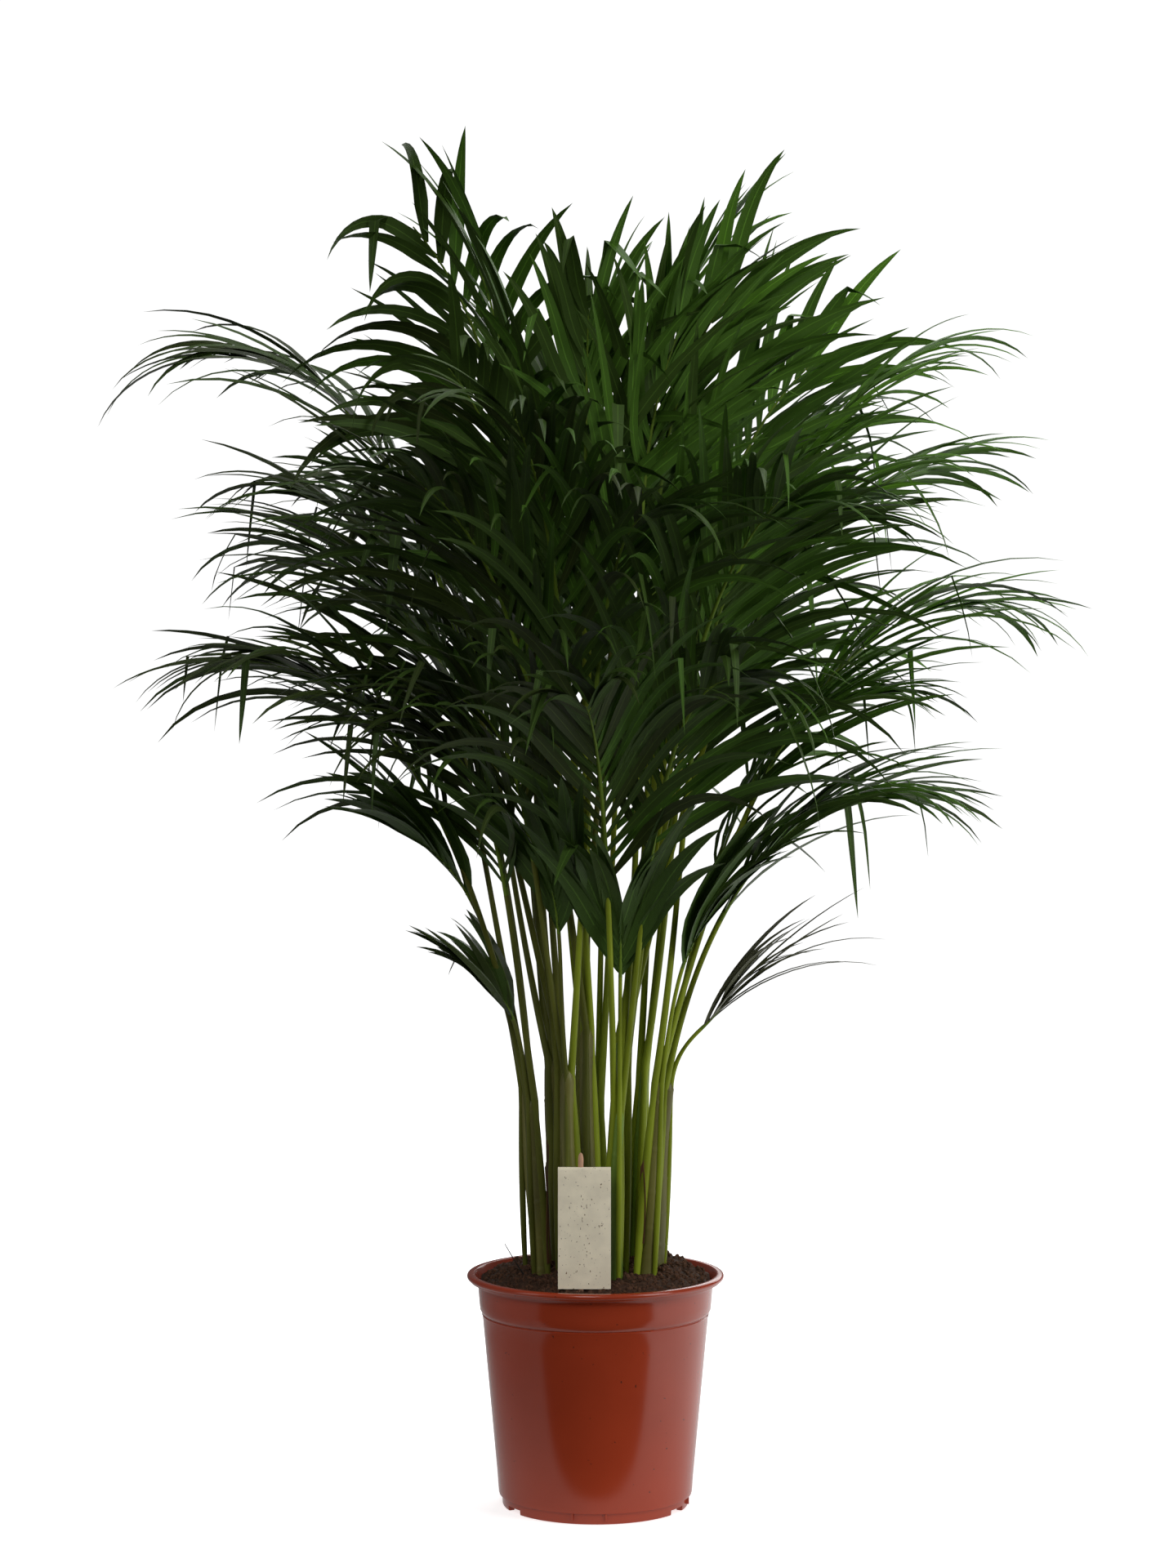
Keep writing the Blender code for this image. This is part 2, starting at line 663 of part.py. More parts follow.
def build_frond(frond, points, out, kept):
    places = stations(frond, points)
    spans = {}
    for k in range(pair_count(frond)):
        spans[PETIOLE_STATIONS + 2 * k] = k
    vertices = []
    for t in places:
        vertices.extend(rib_corners(frond, points, out, t))
    faces = [(2, 1, 0)]
    for i in range(len(places) - 1):
        low = 3 * i
        high = low + 3
        faces.append((low, low + 1, high + 1, high))
        for sign, edge in ((-1, 0), (1, 1)):
            root = (low + edge, high + edge, high + 2, low + 2)
            leaflet = kept.get((spans[i], sign)) if i in spans else None
            if leaflet is None:
                faces.append(root)
                continue
            first = len(vertices)
            vertices.extend(leaflet_corners(leaflet))
            vertices.append(leaflet.tip)
            for a in range(4):
                b = (a + 1) % 4
                faces.append((root[a], root[b], first + b, first + a))
                faces.append((first + a, first + b, first + 4))
    last = 3 * len(places) - 3
    faces.append((last, last + 1, last + 2))
    return add_object(f"frond_{frond.name}", vertices, faces, "frond")


def main():
    clear_scene()
    build_pot()
    build_soil()
    build_label()
    for index, cane in enumerate(canes()):
        build_cane(index, cane)
    limbs = clear_spines()
    grown = grow_leaflets(limbs)
    for frond, points, out in limbs:
        build_frond(frond, points, out, grown[frond.name])


main()
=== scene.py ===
"""Potted areca palm: the finished look, grown round the fixed frame of its solids.

Run as a script. Units are metres, +Z is up, and the side with the label faces -Y.
The fronds' ribs follow the same seeded rule as the solids', and carry more, finer leaflets.
"""
import math
import random
from collections import namedtuple

import bmesh
import bpy
import numpy as np
from bpy.props import FloatProperty, FloatVectorProperty, IntProperty, PointerProperty
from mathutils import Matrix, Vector, noise


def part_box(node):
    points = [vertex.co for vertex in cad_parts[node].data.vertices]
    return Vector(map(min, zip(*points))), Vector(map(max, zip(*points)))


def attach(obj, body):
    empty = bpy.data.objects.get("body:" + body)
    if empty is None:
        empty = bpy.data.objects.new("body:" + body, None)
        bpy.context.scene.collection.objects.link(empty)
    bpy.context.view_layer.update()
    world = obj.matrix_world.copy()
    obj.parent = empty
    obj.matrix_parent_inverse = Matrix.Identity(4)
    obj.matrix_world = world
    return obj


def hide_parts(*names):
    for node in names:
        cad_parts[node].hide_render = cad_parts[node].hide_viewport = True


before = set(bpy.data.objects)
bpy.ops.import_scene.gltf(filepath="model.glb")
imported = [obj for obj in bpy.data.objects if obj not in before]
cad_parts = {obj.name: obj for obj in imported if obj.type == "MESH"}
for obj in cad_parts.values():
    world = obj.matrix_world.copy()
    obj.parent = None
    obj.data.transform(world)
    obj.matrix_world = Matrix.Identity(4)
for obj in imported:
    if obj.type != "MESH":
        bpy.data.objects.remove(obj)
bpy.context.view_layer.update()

bl_info = {
    "name": "Potted areca palm",
    "version": (1, 0, 0),
    "blender": (4, 5, 0),
    "location": "3D View > Sidebar > Palm",
    "description": "Builds the pot, soil, label, canes and fronds of a potted areca palm",
    "category": "Object",
}

BODY = "root"
UP = np.array((0.0, 0.0, 1.0))
LEVEL = (1.0, 1.0, 0.0)
GAP = 0.0003

# Heights and widths that the frame gives
POT_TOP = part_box("pot")[1]
POT_RIM_RADIUS = POT_TOP[0]
POT_HEIGHT = round(POT_TOP[2], 4)
SOIL_TOP = round(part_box("soil")[1][2], 4)
SOIL_EDGE_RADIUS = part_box("soil")[1][0]
LABEL_LOW, LABEL_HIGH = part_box("label")
FROND_NODES = sorted(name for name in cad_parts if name.startswith("frond_"))
CANE_NODES = sorted(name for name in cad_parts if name.startswith("cane_"))

# Canes, each with up to three fronds on its top. A ring of them has a count, a radius,
# a first bearing, a height and a lean outwards
CANE_RINGS = ((9, 0.056, 8.0, 0.170, 4.0), (5, 0.027, 40.0, 0.210, 1.5))
CANE_WAVE = 0.02
CANE_FOOT_RADIUS = 0.0072
FRONDS_PER_CANE = 3
FROND_FOOT_OFFSET = 0.0036

# The growing rule's clearances and steps, as the solids keep them
RIB_CLEAR_FOOT = 0.0058
RIB_CLEAR = 0.0066
PETIOLE_STATIONS = 6
LEAFLET_ROOT = 0.011
PAIR_SHARE = 0.53
LOWER_SIDE_PULL = 0.6
OUTWARD_PULL = 0.1
FROND_TRIES = 160

Cane = namedtuple("Cane", "x y lean bearing height")
Frond = namedtuple("Frond", "name heading reach height pitch roll style bow", defaults=(0.0,))
Style = namedtuple("Style", "bare pairs leaf width spread rise droop")

# Kinds of frond: share of the rib without leaflets, pairs, leaflet's length and width,
# spread from the rib, rise in degrees and droop
UPRIGHT = ("tall", "plume")
STYLES = {
    "tall": Style(0.46, 14, 0.27, 0.0190, 1.0, 20.0, 0.75),
    "plume": Style(0.46, 14, 0.26, 0.0190, 1.25, 6.0, 0.90),
    "arching": Style(0.40, 15, 0.28, 0.0175, 1.0, 12.0, 1.00),
    "young": Style(0.62, 7, 0.20, 0.0240, 0.8, 20.0, 0.60),
    "sprout": Style(0.62, 7, 0.14, 0.0200, 0.8, 20.0, 0.60),
}

# Fronds that can be told apart in the view from the front: heading in degrees from +X,
# reach from the pot's axis, height of the rib's tip, its pitch, and the blade's roll
SEEN = tuple(Frond(*row) for row in (
    ("top_left", 190, 0.170, 1.185, 42, -66, "plume"),
    ("top_left_front", 214, 0.160, 1.050, 40, -40, "plume"),
    ("left_long", 180, 0.345, 1.065, -2, 10, "arching"),
    ("left_low", 186, 0.310, 0.800, 0, 0, "arching"),
    ("left_mid_back", 160, 0.285, 0.945, 18, 10, "arching"),
    ("left_mid_front", 199, 0.265, 0.915, 4, -12, "arching"),
    ("left_drop", 214, 0.190, 0.720, 10, 0, "arching"),
    ("left_small", 188, 0.165, 0.620, 30, 0, "young"),
    ("left_foot", 192, 0.095, 0.480, 36, 0, "sprout"),
    ("top_right", 350, 0.130, 1.130, 50, 62, "tall"),
    ("right_arch", 2, 0.335, 0.835, 4, 0, "arching"),
    ("right_low", 352, 0.235, 0.655, 12, 0, "arching"),
    ("right_upper", 14, 0.290, 1.060, 32, 0, "arching"),
    ("right_mid", 4, 0.300, 0.965, 16, 10, "arching"),
    ("right_front", 336, 0.215, 0.920, 10, 20, "arching"),
    ("right_back", 20, 0.225, 1.075, 40, 62, "tall"),
    ("right_fan", 8, 0.225, 0.740, 20, 0, "arching"),
    ("right_dry", 357, 0.116, 0.465, 62, 0, "young"),
    ("right_short", 335, 0.110, 0.545, 52, 0, "young"),
    ("front_left_young", 243, 0.095, 0.590, 62, 0, "young"),
    ("front_young", 284, 0.095, 0.550, 62, 0, "young"),
))

# Fronds between them: name, count, first heading, sweep, reach, height, pitch, style
TIERS = (
    ("crown", 6, 30.0, 360.0, 0.110, 1.105, 64.0, "tall"),
    ("front", 4, 236.0, 92.0, 0.260, 0.940, 20.0, "arching"),
    ("back", 5, 45.0, 104.0, 0.270, 0.960, 22.0, "arching"),
    ("skirt_front", 3, 238.0, 96.0, 0.210, 0.760, 14.0, "arching"),
    ("skirt_back", 3, 52.0, 110.0, 0.230, 0.780, 14.0, "arching"),
)

# Tints of the leaflets: the first four run from shade to light
TINTS = ("deep", "dark", "mid", "fresh", "young", "dry")
DRY_FROND = "right_dry"

# Camera
CAMERA_PLACE = (-0.0144, -3.2, 0.77)
CAMERA_TILT = 88.26
CAMERA_LENS = 79.0


# Settings

def colour_setting(name, description, default):
    return FloatVectorProperty(name=name, description=description, subtype="COLOR",
                               size=3, min=0.0, max=1.0, default=default)


def length_setting(name, description, default):
    return FloatProperty(name=name, description=description, default=default,
                         min=0.0, unit="LENGTH")


class PotSettings(bpy.types.PropertyGroup):
    colour: colour_setting("Plastic", "Colour of the pot's plastic", (0.39, 0.048, 0.016))
    wall: length_setting("Wall", "Thickness of the pot's wall", 0.0024)
    segments: IntProperty(name="Segments", description="Steps round the pot", default=192, min=24)


class SoilSettings(bpy.types.PropertyGroup):
    colour: colour_setting("Peat", "Colour of the damp peat", (0.052, 0.025, 0.014))
    lump: length_setting("Lump height", "How far lumps stand out of the soil", 0.0085)
    crumb: length_setting("Crumb size", "Radius of the largest loose crumbs", 0.0036)
    density: FloatProperty(name="Crumb density", description="Crumbs on each square metre",
                           default=42000.0, min=0.0)


class LabelSettings(bpy.types.PropertyGroup):
    card: colour_setting("Card", "Colour of the recycled card", (0.95, 0.86, 0.66))
    wood: colour_setting("Stake", "Colour of the wooden stake", (0.62, 0.36, 0.22))
    sheet: length_setting("Sheet", "Thickness of the folded card", 0.0011)


class CaneSettings(bpy.types.PropertyGroup):
    olive: colour_setting("Old cane", "Colour of the older canes", (0.130, 0.125, 0.024))
    green: colour_setting("New cane", "Colour of the younger canes", (0.140, 0.230, 0.022))
    sheath: colour_setting("Dry sheath", "Colour of the papery scraps", (0.120, 0.052, 0.018))
    ring_step: length_setting("Ring step", "Distance between the leaf scars", 0.026)


class FrondSettings(bpy.types.PropertyGroup):
    fullness: FloatProperty(name="Fullness", description="Leaflet pairs of the fronds that arch",
                            default=1.18, min=0.2)
    # Petiole is the lit stalk colour; Old petiole is its painted shade for the stalks at the left, and a
    # little browner
    petiole: colour_setting("Petiole", "Colour of the lit leaf stalks", (0.215, 0.270, 0.018))
    old_petiole: colour_setting("Old petiole", "Colour of the older, browner stalks", (0.105, 0.115, 0.018))
    rachis: colour_setting("Rachis", "Colour of the ribs between leaflets", (0.120, 0.190, 0.020))
    deep: colour_setting("Deep", "Leaflets in the shade", (0.036, 0.055, 0.012))
    # Dark is the second step of painted shade on the grown fronds, and a random share of the young fronds'
    # leaflets
    dark: colour_setting("Dark", "Older leaflets", (0.044, 0.084, 0.014))
    mid: colour_setting("Mid", "Most leaflets", (0.060, 0.135, 0.016))
    # The lightest tint is painted light, for leaflets at the right, high up and at the back
    fresh: colour_setting("Fresh", "Leaflets in the light", (0.095, 0.225, 0.020))
    dry: colour_setting("Dry", "Withered leaflets of the dry frond", (0.085, 0.090, 0.045))
    young: colour_setting("Young", "Broad leaflets of young fronds", (0.045, 0.090, 0.015))


class StageSettings(bpy.types.PropertyGroup):
    floor: colour_setting("Floor", "Colour of the pale floor", (0.90, 0.90, 0.90))
    key: FloatProperty(name="Key light", description="Power of the main soft light",
                       default=30.0, min=0.0, unit="POWER")


# Mesh helpers

def unit(v):
    return v / np.linalg.norm(v)


def bearing_vector(degrees):
    angle = math.radians(degrees)
    return np.array((math.cos(angle), math.sin(angle), 0.0))


def add_object(name, data):
    made = bpy.data.objects.new(name, data)
    bpy.context.scene.collection.objects.link(made)
    return made


def closed_mesh(name, vertices, faces):
    """A mesh whose faces all point outwards."""
    mesh = bpy.data.meshes.new(name)
    mesh.from_pydata([tuple(v) for v in vertices], [], faces)
    work = bmesh.new()
    work.from_mesh(mesh)
    bmesh.ops.recalc_face_normals(work, faces=work.faces)
    work.to_mesh(mesh)
    work.free()
    return mesh


def smooth(mesh, sharp):
    """Shades a mesh smooth, but for edges sharper than an angle in degrees."""
    mesh.shade_smooth()
    mesh.set_sharp_from_angle(angle=math.radians(sharp))


def add_piece(name, vertices, faces, finish, sharp=35.0):
    """A plain mesh object at the origin."""
    mesh = closed_mesh(name, vertices, faces)
    mesh.materials.append(finish)
    smooth(mesh, sharp)
    return add_object(name, mesh)


def hand_over(piece, slot, *nodes):
    """Hangs a finished piece on the body that it rides on, and hides the nodes that it stands for."""
    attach(piece, BODY)
    if nodes:
        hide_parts(*nodes)


def settle(piece):
    """Makes plain mesh of what a piece's modifiers make, and removes them."""
    bpy.context.view_layer.update()
    done = bpy.data.meshes.new_from_object(piece.evaluated_get(bpy.context.evaluated_depsgraph_get()))
    piece.modifiers.clear()
    piece.data = done


def join_shapes(shapes):
    """One list of vertices and faces from several."""
    vertices = []
    faces = []
    for some_vertices, some_faces in shapes:
        first = len(vertices)
        vertices.extend(some_vertices)
        faces.extend(tuple(first + i for i in face) for face in some_faces)
    return vertices, faces


def circle(steps):
    """Cosine and sine of equal steps round a circle."""
    return [(math.cos(math.tau * i / steps), math.sin(math.tau * i / steps)) for i in range(steps)]


def ringed_faces(rings, sides):
    """Faces of a closed shape made of a first point, equal rings of points and a last point."""
    faces = []
    top = 1 + (rings - 1) * sides
    for i in range(sides):
        j = (i + 1) % sides
        faces.append((0, 1 + j, 1 + i))
        for low in range(1, top, sides):
            faces.append((low + i, low + j, low + sides + j, low + sides + i))
        faces.append((top + i, top + j, top + sides))
    return faces


def turned(profile, segments):
    """A closed turned solid from (radius, height) points that start and end on the axis."""
    vertices = [(0.0, 0.0, profile[0][1])]
    for radius, height in profile[1:-1]:
        vertices.extend((radius * x, radius * y, height) for x, y in circle(segments))
    vertices.append((0.0, 0.0, profile[-1][1]))
    return vertices, ringed_faces(len(profile) - 2, segments)


def block(centre, size, bearing):
    """A box turned about its upright axis."""
    out = bearing_vector(bearing)
    side = np.array((-out[1], out[0], 0.0))
    vertices = []
    for z in (-0.5, 0.5):
        for x, y in ((-0.5, -0.5), (0.5, -0.5), (0.5, 0.5), (-0.5, 0.5)):
            vertices.append(np.array(centre) + out * x * size[0] + side * y * size[1]
                            + UP * z * size[2])
    faces = [(0, 3, 2, 1), (4, 5, 6, 7)]
    for i in range(4):
        j = (i + 1) % 4
        faces.append((i, j, j + 4, i + 4))
    return vertices, faces


# Node and material helpers

def node(tree, kind, inputs, **settings):
    """A node with its settings, and each input set to a value or linked to an output."""
    made = tree.nodes.new(kind)
    for name, value in settings.items():
        setattr(made, name, value)
    for name, value in inputs.items():
        if isinstance(value, bpy.types.NodeSocket):
            tree.links.new(value, made.inputs[name])
        else:
            made.inputs[name].default_value = value
    return made


def plain_math(tree, operation, *values):
    """One math node on plain numbers and other nodes' outputs."""
    return node(tree, "ShaderNodeMath", dict(enumerate(values)), operation=operation).outputs["Value"]


def value_range(tree, source, low, high, start=0.0, end=1.0):
    """Maps start to end onto low to high, and holds beyond."""
    return node(tree, "ShaderNodeMapRange", {"Value": source, "From Min": start, "From Max": end,
                                             "To Min": low, "To Max": high}).outputs["Result"]


def object_noise(tree, scale, detail=3.0, stretch=(1.0, 1.0, 1.0)):
    """Noise on Object coordinates, stretched along an axis where the grain runs."""
    place = node(tree, "ShaderNodeTexCoord", {}).outputs["Object"]
    grain = node(tree, "ShaderNodeMapping", {"Vector": place, "Scale": stretch}).outputs["Vector"]
    return node(tree, "ShaderNodeTexNoise",
                {"Vector": grain, "Scale": scale, "Detail": detail}).outputs["Fac"]


def ramp(tree, source, stops):
    """Maps a value through (position, colour) stops."""
    made = node(tree, "ShaderNodeValToRGB", {"Fac": source})
    for element, (position, colour) in zip(made.color_ramp.elements, stops):
        element.position = position
        element.color = (*colour, 1.0)
    return made.outputs["Color"]


def scaled(colour, share):
    return tuple(min(1.0, c * share) for c in colour)


def mottled(tree, grain, colour, edge, dark, light):
    """A colour scaled to dark where the grain is under its lower edge, and to light above."""
    return ramp(tree, grain, ((edge, scaled(colour, dark)), (1 - edge, scaled(colour, light))))


def new_finish(name, colour, roughness, specular=0.5):
    """A material with its Principled shader, colour and gloss set on the shader's own sockets."""
    made = bpy.data.materials.new(name)
    made.use_nodes = True
    shader = made.node_tree.nodes["Principled BSDF"]
    shader.inputs["Base Color"].default_value = (*colour, 1.0)
    shader.inputs["Roughness"].default_value = roughness
    shader.inputs["Specular IOR Level"].default_value = specular
    return made, made.node_tree, shader


def paint_over(tree, shader, base, mask, over):
    """Colours a shader with base, and with another colour where the mask is 1."""
    mix = node(tree, "ShaderNodeMix", {"A": base, "B": over, "Factor": mask}, data_type="RGBA")
    tree.links.new(mix.outputs["Result"], shader.inputs["Base Color"])


def flecked(tree, shader, base, grain, start, end, colour):
    """Flecks of another colour where the grain rises past start to end."""
    mask = ramp(tree, grain, ((start, (0, 0, 0)), (end, (1, 1, 1))))
    paint_over(tree, shader, base, mask, (*colour, 1.0))


def add_gloss(tree, shader, grain, low, high):
    tree.links.new(value_range(tree, grain, low, high), shader.inputs["Roughness"])


def add_bump(tree, shader, source, strength, distance):
    made = node(tree, "ShaderNodeBump", {"Height": source, "Strength": strength, "Distance": distance})
    tree.links.new(made.outputs["Normal"], shader.inputs["Normal"])


def varied_finish(name, colour, roughness, scale, spread, stretch=(1.0, 1.0, 1.0), bump=0.0003,
                  specular=0.5):
    """A finish whose colour, gloss and relief vary with one grain."""
    made, tree, shader = new_finish(name, colour, roughness, specular)
    grain = object_noise(tree, scale, 4.0, stretch)
    tint = mottled(tree, grain, colour, 0.3, 1 - spread, 1 + spread)
    tree.links.new(tint, shader.inputs["Base Color"])
    add_gloss(tree, shader, grain, roughness - 0.08, roughness + 0.08)
    add_bump(tree, shader, grain, 0.5, bump)
    return made


def growing_tree(name, *inputs):
    """An empty tree of Geometry Nodes with its named inputs, and their outputs inside it."""
    tree = bpy.data.node_groups.new(name, "GeometryNodeTree")
    for label, kind in (("Geometry", "Geometry"), *inputs):
        tree.interface.new_socket(label, in_out="INPUT", socket_type=f"NodeSocket{kind}")
    tree.interface.new_socket("Geometry", in_out="OUTPUT", socket_type="NodeSocketGeometry")
    return tree, tree.nodes.new("NodeGroupInput").outputs


def close_tree(tree, shape, finish):
    """Ends a tree in real meshes with their finish."""
    real = node(tree, "GeometryNodeRealizeInstances", {"Geometry": shape}).outputs["Geometry"]
    paint = node(tree, "GeometryNodeSetMaterial", {"Geometry": real, "Material": finish})
    node(tree, "NodeGroupOutput", {"Geometry": paint.outputs["Geometry"]})
    return tree


def grown(name, mesh, tree, values):
    """A plain mesh piece made by running a node tree, with its named inputs, on a mesh."""
    made = add_object(name, mesh)
    change = made.modifiers.new("grow", "NODES")
    change.node_group = tree
    for item in tree.interface.items_tree:
        if item.item_type == "SOCKET" and item.in_out == "INPUT" and item.name in values:
            change[item.identifier] = values[item.name]
    settle(made)
    return made


# The growing rule, as in the solids

def canes():
    found = []
    for count, radius, turn, height, lean in CANE_RINGS:
        for i in range(count):
            bearing = turn + 360.0 * i / count
            foot = bearing_vector(bearing) * radius
            found.append(Cane(foot[0], foot[1], lean, bearing, height + CANE_WAVE * math.sin(2.4 * i)))
    return found


def cane_ends(cane):
    foot = np.array((cane.x, cane.y, SOIL_TOP + GAP))
    lean = math.radians(cane.lean)
    way = math.sin(lean) * bearing_vector(cane.bearing) + math.cos(lean) * UP
    return foot, foot + way * cane.height


def fronds():
    found = list(SEEN)
    chance = random.Random(11)
    for name, count, turn, sweep, reach, height, pitch, style in TIERS:
        for i in range(count):
            heading = (turn + sweep * i / count + chance.uniform(-6, 6)) % 360
            found.append(Frond(f"{name}_{i + 1}", heading, reach * chance.uniform(0.85, 1.12),
                               height + chance.uniform(-0.06, 0.05), pitch + chance.uniform(-8, 8),
                               chance.uniform(-28, 28), style))
    return found


def seats():
    """Gives each frond, lowest first, the nearest free seat on the canes' tops."""
    stems = canes()
    free = {}
    for i, cane in enumerate(stems):
        free[i] = [cane.bearing + 360.0 * k / FRONDS_PER_CANE for k in range(FRONDS_PER_CANE)]
    made = []
    for frond in sorted(fronds(), key=lambda f: f.height):
        ahead = bearing_vector(frond.heading)
        want = ahead * (0.02 if frond.style in UPRIGHT else 0.06)
        open_canes = [i for i in free if free[i]]
        chosen = min(open_canes, key=lambda i: math.hypot(stems[i].x - want[0], stems[i].y - want[1]))
        seat = max(free[chosen], key=lambda bearing: float(bearing_vector(bearing) @ ahead))
        free[chosen].remove(seat)
        top = cane_ends(stems[chosen])[1]
        made.append((frond, top + bearing_vector(seat) * FROND_FOOT_OFFSET + UP * GAP))
    return made


def spine(frond, base):
    """The rib's cubic curve, and the level direction that it bends towards."""
    tip = bearing_vector(frond.heading) * frond.reach + UP * frond.height
    out = unit((tip - base) * LEVEL)
    chord = np.linalg.norm(tip - base)
    lean = math.radians(4 + 12 * min(1.0, frond.reach / 0.4) + frond.bow)
    start = math.sin(lean) * out + math.cos(lean) * UP
    pitch = math.radians(frond.pitch)
    end = math.cos(pitch) * out + math.sin(pitch) * UP
    return (base, base + start * chord * 0.5, tip - end * chord * 0.25, tip), out


def on_curve(points, t):
    p0, p1, p2, p3 = points
    s = 1 - t
    place = s**3 * p0 + 3 * s * s * t * p1 + 3 * s * t * t * p2 + t**3 * p3
    way = 3 * s * s * (p1 - p0) + 6 * s * t * (p2 - p1) + 3 * t * t * (p3 - p2)
    return place, unit(way)


def rib_frame(frond, points, out, t):
    """Place, direction, side and upper side of the rib at a share of its curve."""
    place, along = on_curve(points, t)
    normal = unit(np.cross(np.array((out[1], -out[0], 0.0)), along))
    side = np.cross(along, normal)
    turn = math.radians(frond.roll) * min(1.0, t / STYLES[frond.style].bare)
    return (place, along, math.cos(turn) * side + math.sin(turn) * normal,
            math.cos(turn) * normal - math.sin(turn) * side)


def stations(frond, points):
    """Shares of the rib where the solids' rib has its rings."""
    bare = STYLES[frond.style].bare
    places = [on_curve(points, i / 16)[0] for i in range(17)]
    length = sum(np.linalg.norm(b - a) for a, b in zip(places, places[1:]))
    half = LEAFLET_ROOT / 2 / length
    pairs = max(4, round(STYLES[frond.style].pairs * PAIR_SHARE))
    found = [bare * i / PETIOLE_STATIONS for i in range(PETIOLE_STATIONS)]
    for k in range(pairs):
        middle = bare + (1 - bare) * (k + 0.5) / pairs
        found.extend((middle - half, middle + half))
    found.append(1.0)
    return found


def name_sum(frond):
    """A frond's own seed, from its name."""
    return sum(map(ord, frond.name))


def line_gap(a, b):
    """Least distance between two polylines, from each pair of their straight pieces."""
    a0 = a[:-1, None]
    b0 = b[None, :-1]
    u = a[1:, None] - a0
    v = b[None, 1:] - b0
    w = a0 - b0
    uu = (u * u).sum(-1)
    uv = (u * v).sum(-1)
    vv = (v * v).sum(-1)
    uw = (u * w).sum(-1)
    vw = (v * w).sum(-1)
    s = np.clip((uv * vw - vv * uw) / np.maximum(uu * vv - uv * uv, 1e-12), 0, 1)
    t = np.clip((uv * s + vw) / vv, 0, 1)
    s = np.clip((uv * t - uw) / uu, 0, 1)
    return np.linalg.norm(w + u * s[..., None] - v * t[..., None], axis=-1).min()


def clear_spines():
    """Swings each rib a little until it keeps clear of the canes and earlier ribs."""
    stems = [np.array(cane_ends(cane)) for cane in canes()]
    placed = []
    found = []
    seen = [frond.name for frond in SEEN]
    for frond, base in sorted(seats(), key=lambda seat: seat[0].name not in seen):
        chance = random.Random(name_sum(frond))
        for attempt in range(FROND_TRIES):
            swing = chance.uniform(-0.2, 0.2) * attempt
            lift = chance.uniform(-0.0004, 0.0004) * attempt
            bow = chance.uniform(-0.08, 0.08) * attempt
            trial = frond._replace(heading=frond.heading + swing, height=frond.height + lift, bow=bow)
            points, out = spine(trial, base)
            line = np.array([on_curve(points, t)[0] for t in stations(trial, points)])
            near = [line_gap(line[1:], stem) - CANE_FOOT_RADIUS - 0.003 for stem in stems]
            near += [line_gap(line, other) - RIB_CLEAR_FOOT for other in placed]
            near += [line_gap(line[2:], other[2:]) - RIB_CLEAR for other in placed]
            if min(near) > 0:
                break
        else:
            raise ValueError(f"{frond.name} finds no clear way")
        placed.append(line)
        found.append((trial, points, out))
    return found


# Pot

POT_FOOT = 0.0868
POT_BODY_FOOT = 0.0903
POT_BODY_TOP = 0.1053
POT_COLLAR = 0.1098
POT_LIP = 0.0055
POT_NOTCHES = (29.5, 150.5, 209.5, 330.5)
POT_RIBS = (256.0, 276.0, 76.0, 96.0, 166.0, 346.0)
DRAIN_HOLES = 6


def stepped(radius, *steps):
    """Profile points, each a step out from a radius and its height."""
    return [(radius + step, height) for step, height in steps]


def pot_profile(wall):
    """Outline of the pot's outer wall, lip, inner wall and floor, as radius and height."""
    body_low = 0.0150
    body_high = 0.1765
    outer = [(0.0, 0.0), (0.025, 0.0), (0.026, 0.005), (0.080, 0.005), (0.081, 0.0)]
    outer += stepped(POT_FOOT, (-0.0012, 0.0), (-0.0004, 0.0003), (0.0, 0.0012), (0.0004, 0.0092),
                     (0.0010, 0.0100))
    outer += stepped(POT_BODY_FOOT, (-0.0012, 0.0101), (-0.0004, 0.0106), (0.0, 0.0122), (0.0003, body_low))
    for i in range(1, 12):
        share = i / 12
        outer.append((POT_BODY_FOOT + (POT_BODY_TOP - POT_BODY_FOOT) * share,
                      body_low + (body_high - body_low) * share))
    outer += stepped(POT_BODY_TOP, (0.0, body_high), (0.0006, 0.1782), (-0.0001, 0.1788),
                     (-0.0001, 0.1794), (0.0008, 0.1800))
    outer += stepped(POT_COLLAR, (-0.0026, 0.1822), (-0.0021, 0.1832), (-0.0014, 0.1900),
                     (-0.0002, 0.2050), (0.0, 0.2060), (0.0014, 0.2082), (0.0050, 0.2092))
    outer += stepped(POT_RIM_RADIUS, (-0.0030, 0.2096))
    for i in range(13):
        angle = math.radians(-80.0 + 170.0 * i / 12)
        outer.append((POT_RIM_RADIUS - POT_LIP / 2 + POT_LIP / 2 * math.cos(angle),
                      POT_HEIGHT - POT_LIP / 2 + POT_LIP / 2 * math.sin(angle)))
    inner = [(0.1140, POT_HEIGHT), (0.1132, POT_HEIGHT - 0.0002), (0.1125, POT_HEIGHT - 0.0010),
             (0.1121, POT_HEIGHT - 0.0024)]
    inner += stepped(POT_COLLAR, (-wall, 0.2060), (-0.002 - wall, 0.1840))
    inner += stepped(-wall, (POT_BODY_TOP, 0.1775), (POT_BODY_FOOT, 0.012), (POT_BODY_FOOT - 0.002, 0.009))
    return outer + inner + [(0.0, 0.009)]


def carve(piece, cutters):
    """Cuts blocks and plugs out of a piece, and removes them."""
    carver = add_object("carver", closed_mesh("carver", *join_shapes(cutters)))
    change = piece.modifiers.new("carve", "BOOLEAN")
    change.operation = "DIFFERENCE"
    change.object = carver
    settle(piece)
    bpy.data.objects.remove(carver, do_unlink=True)


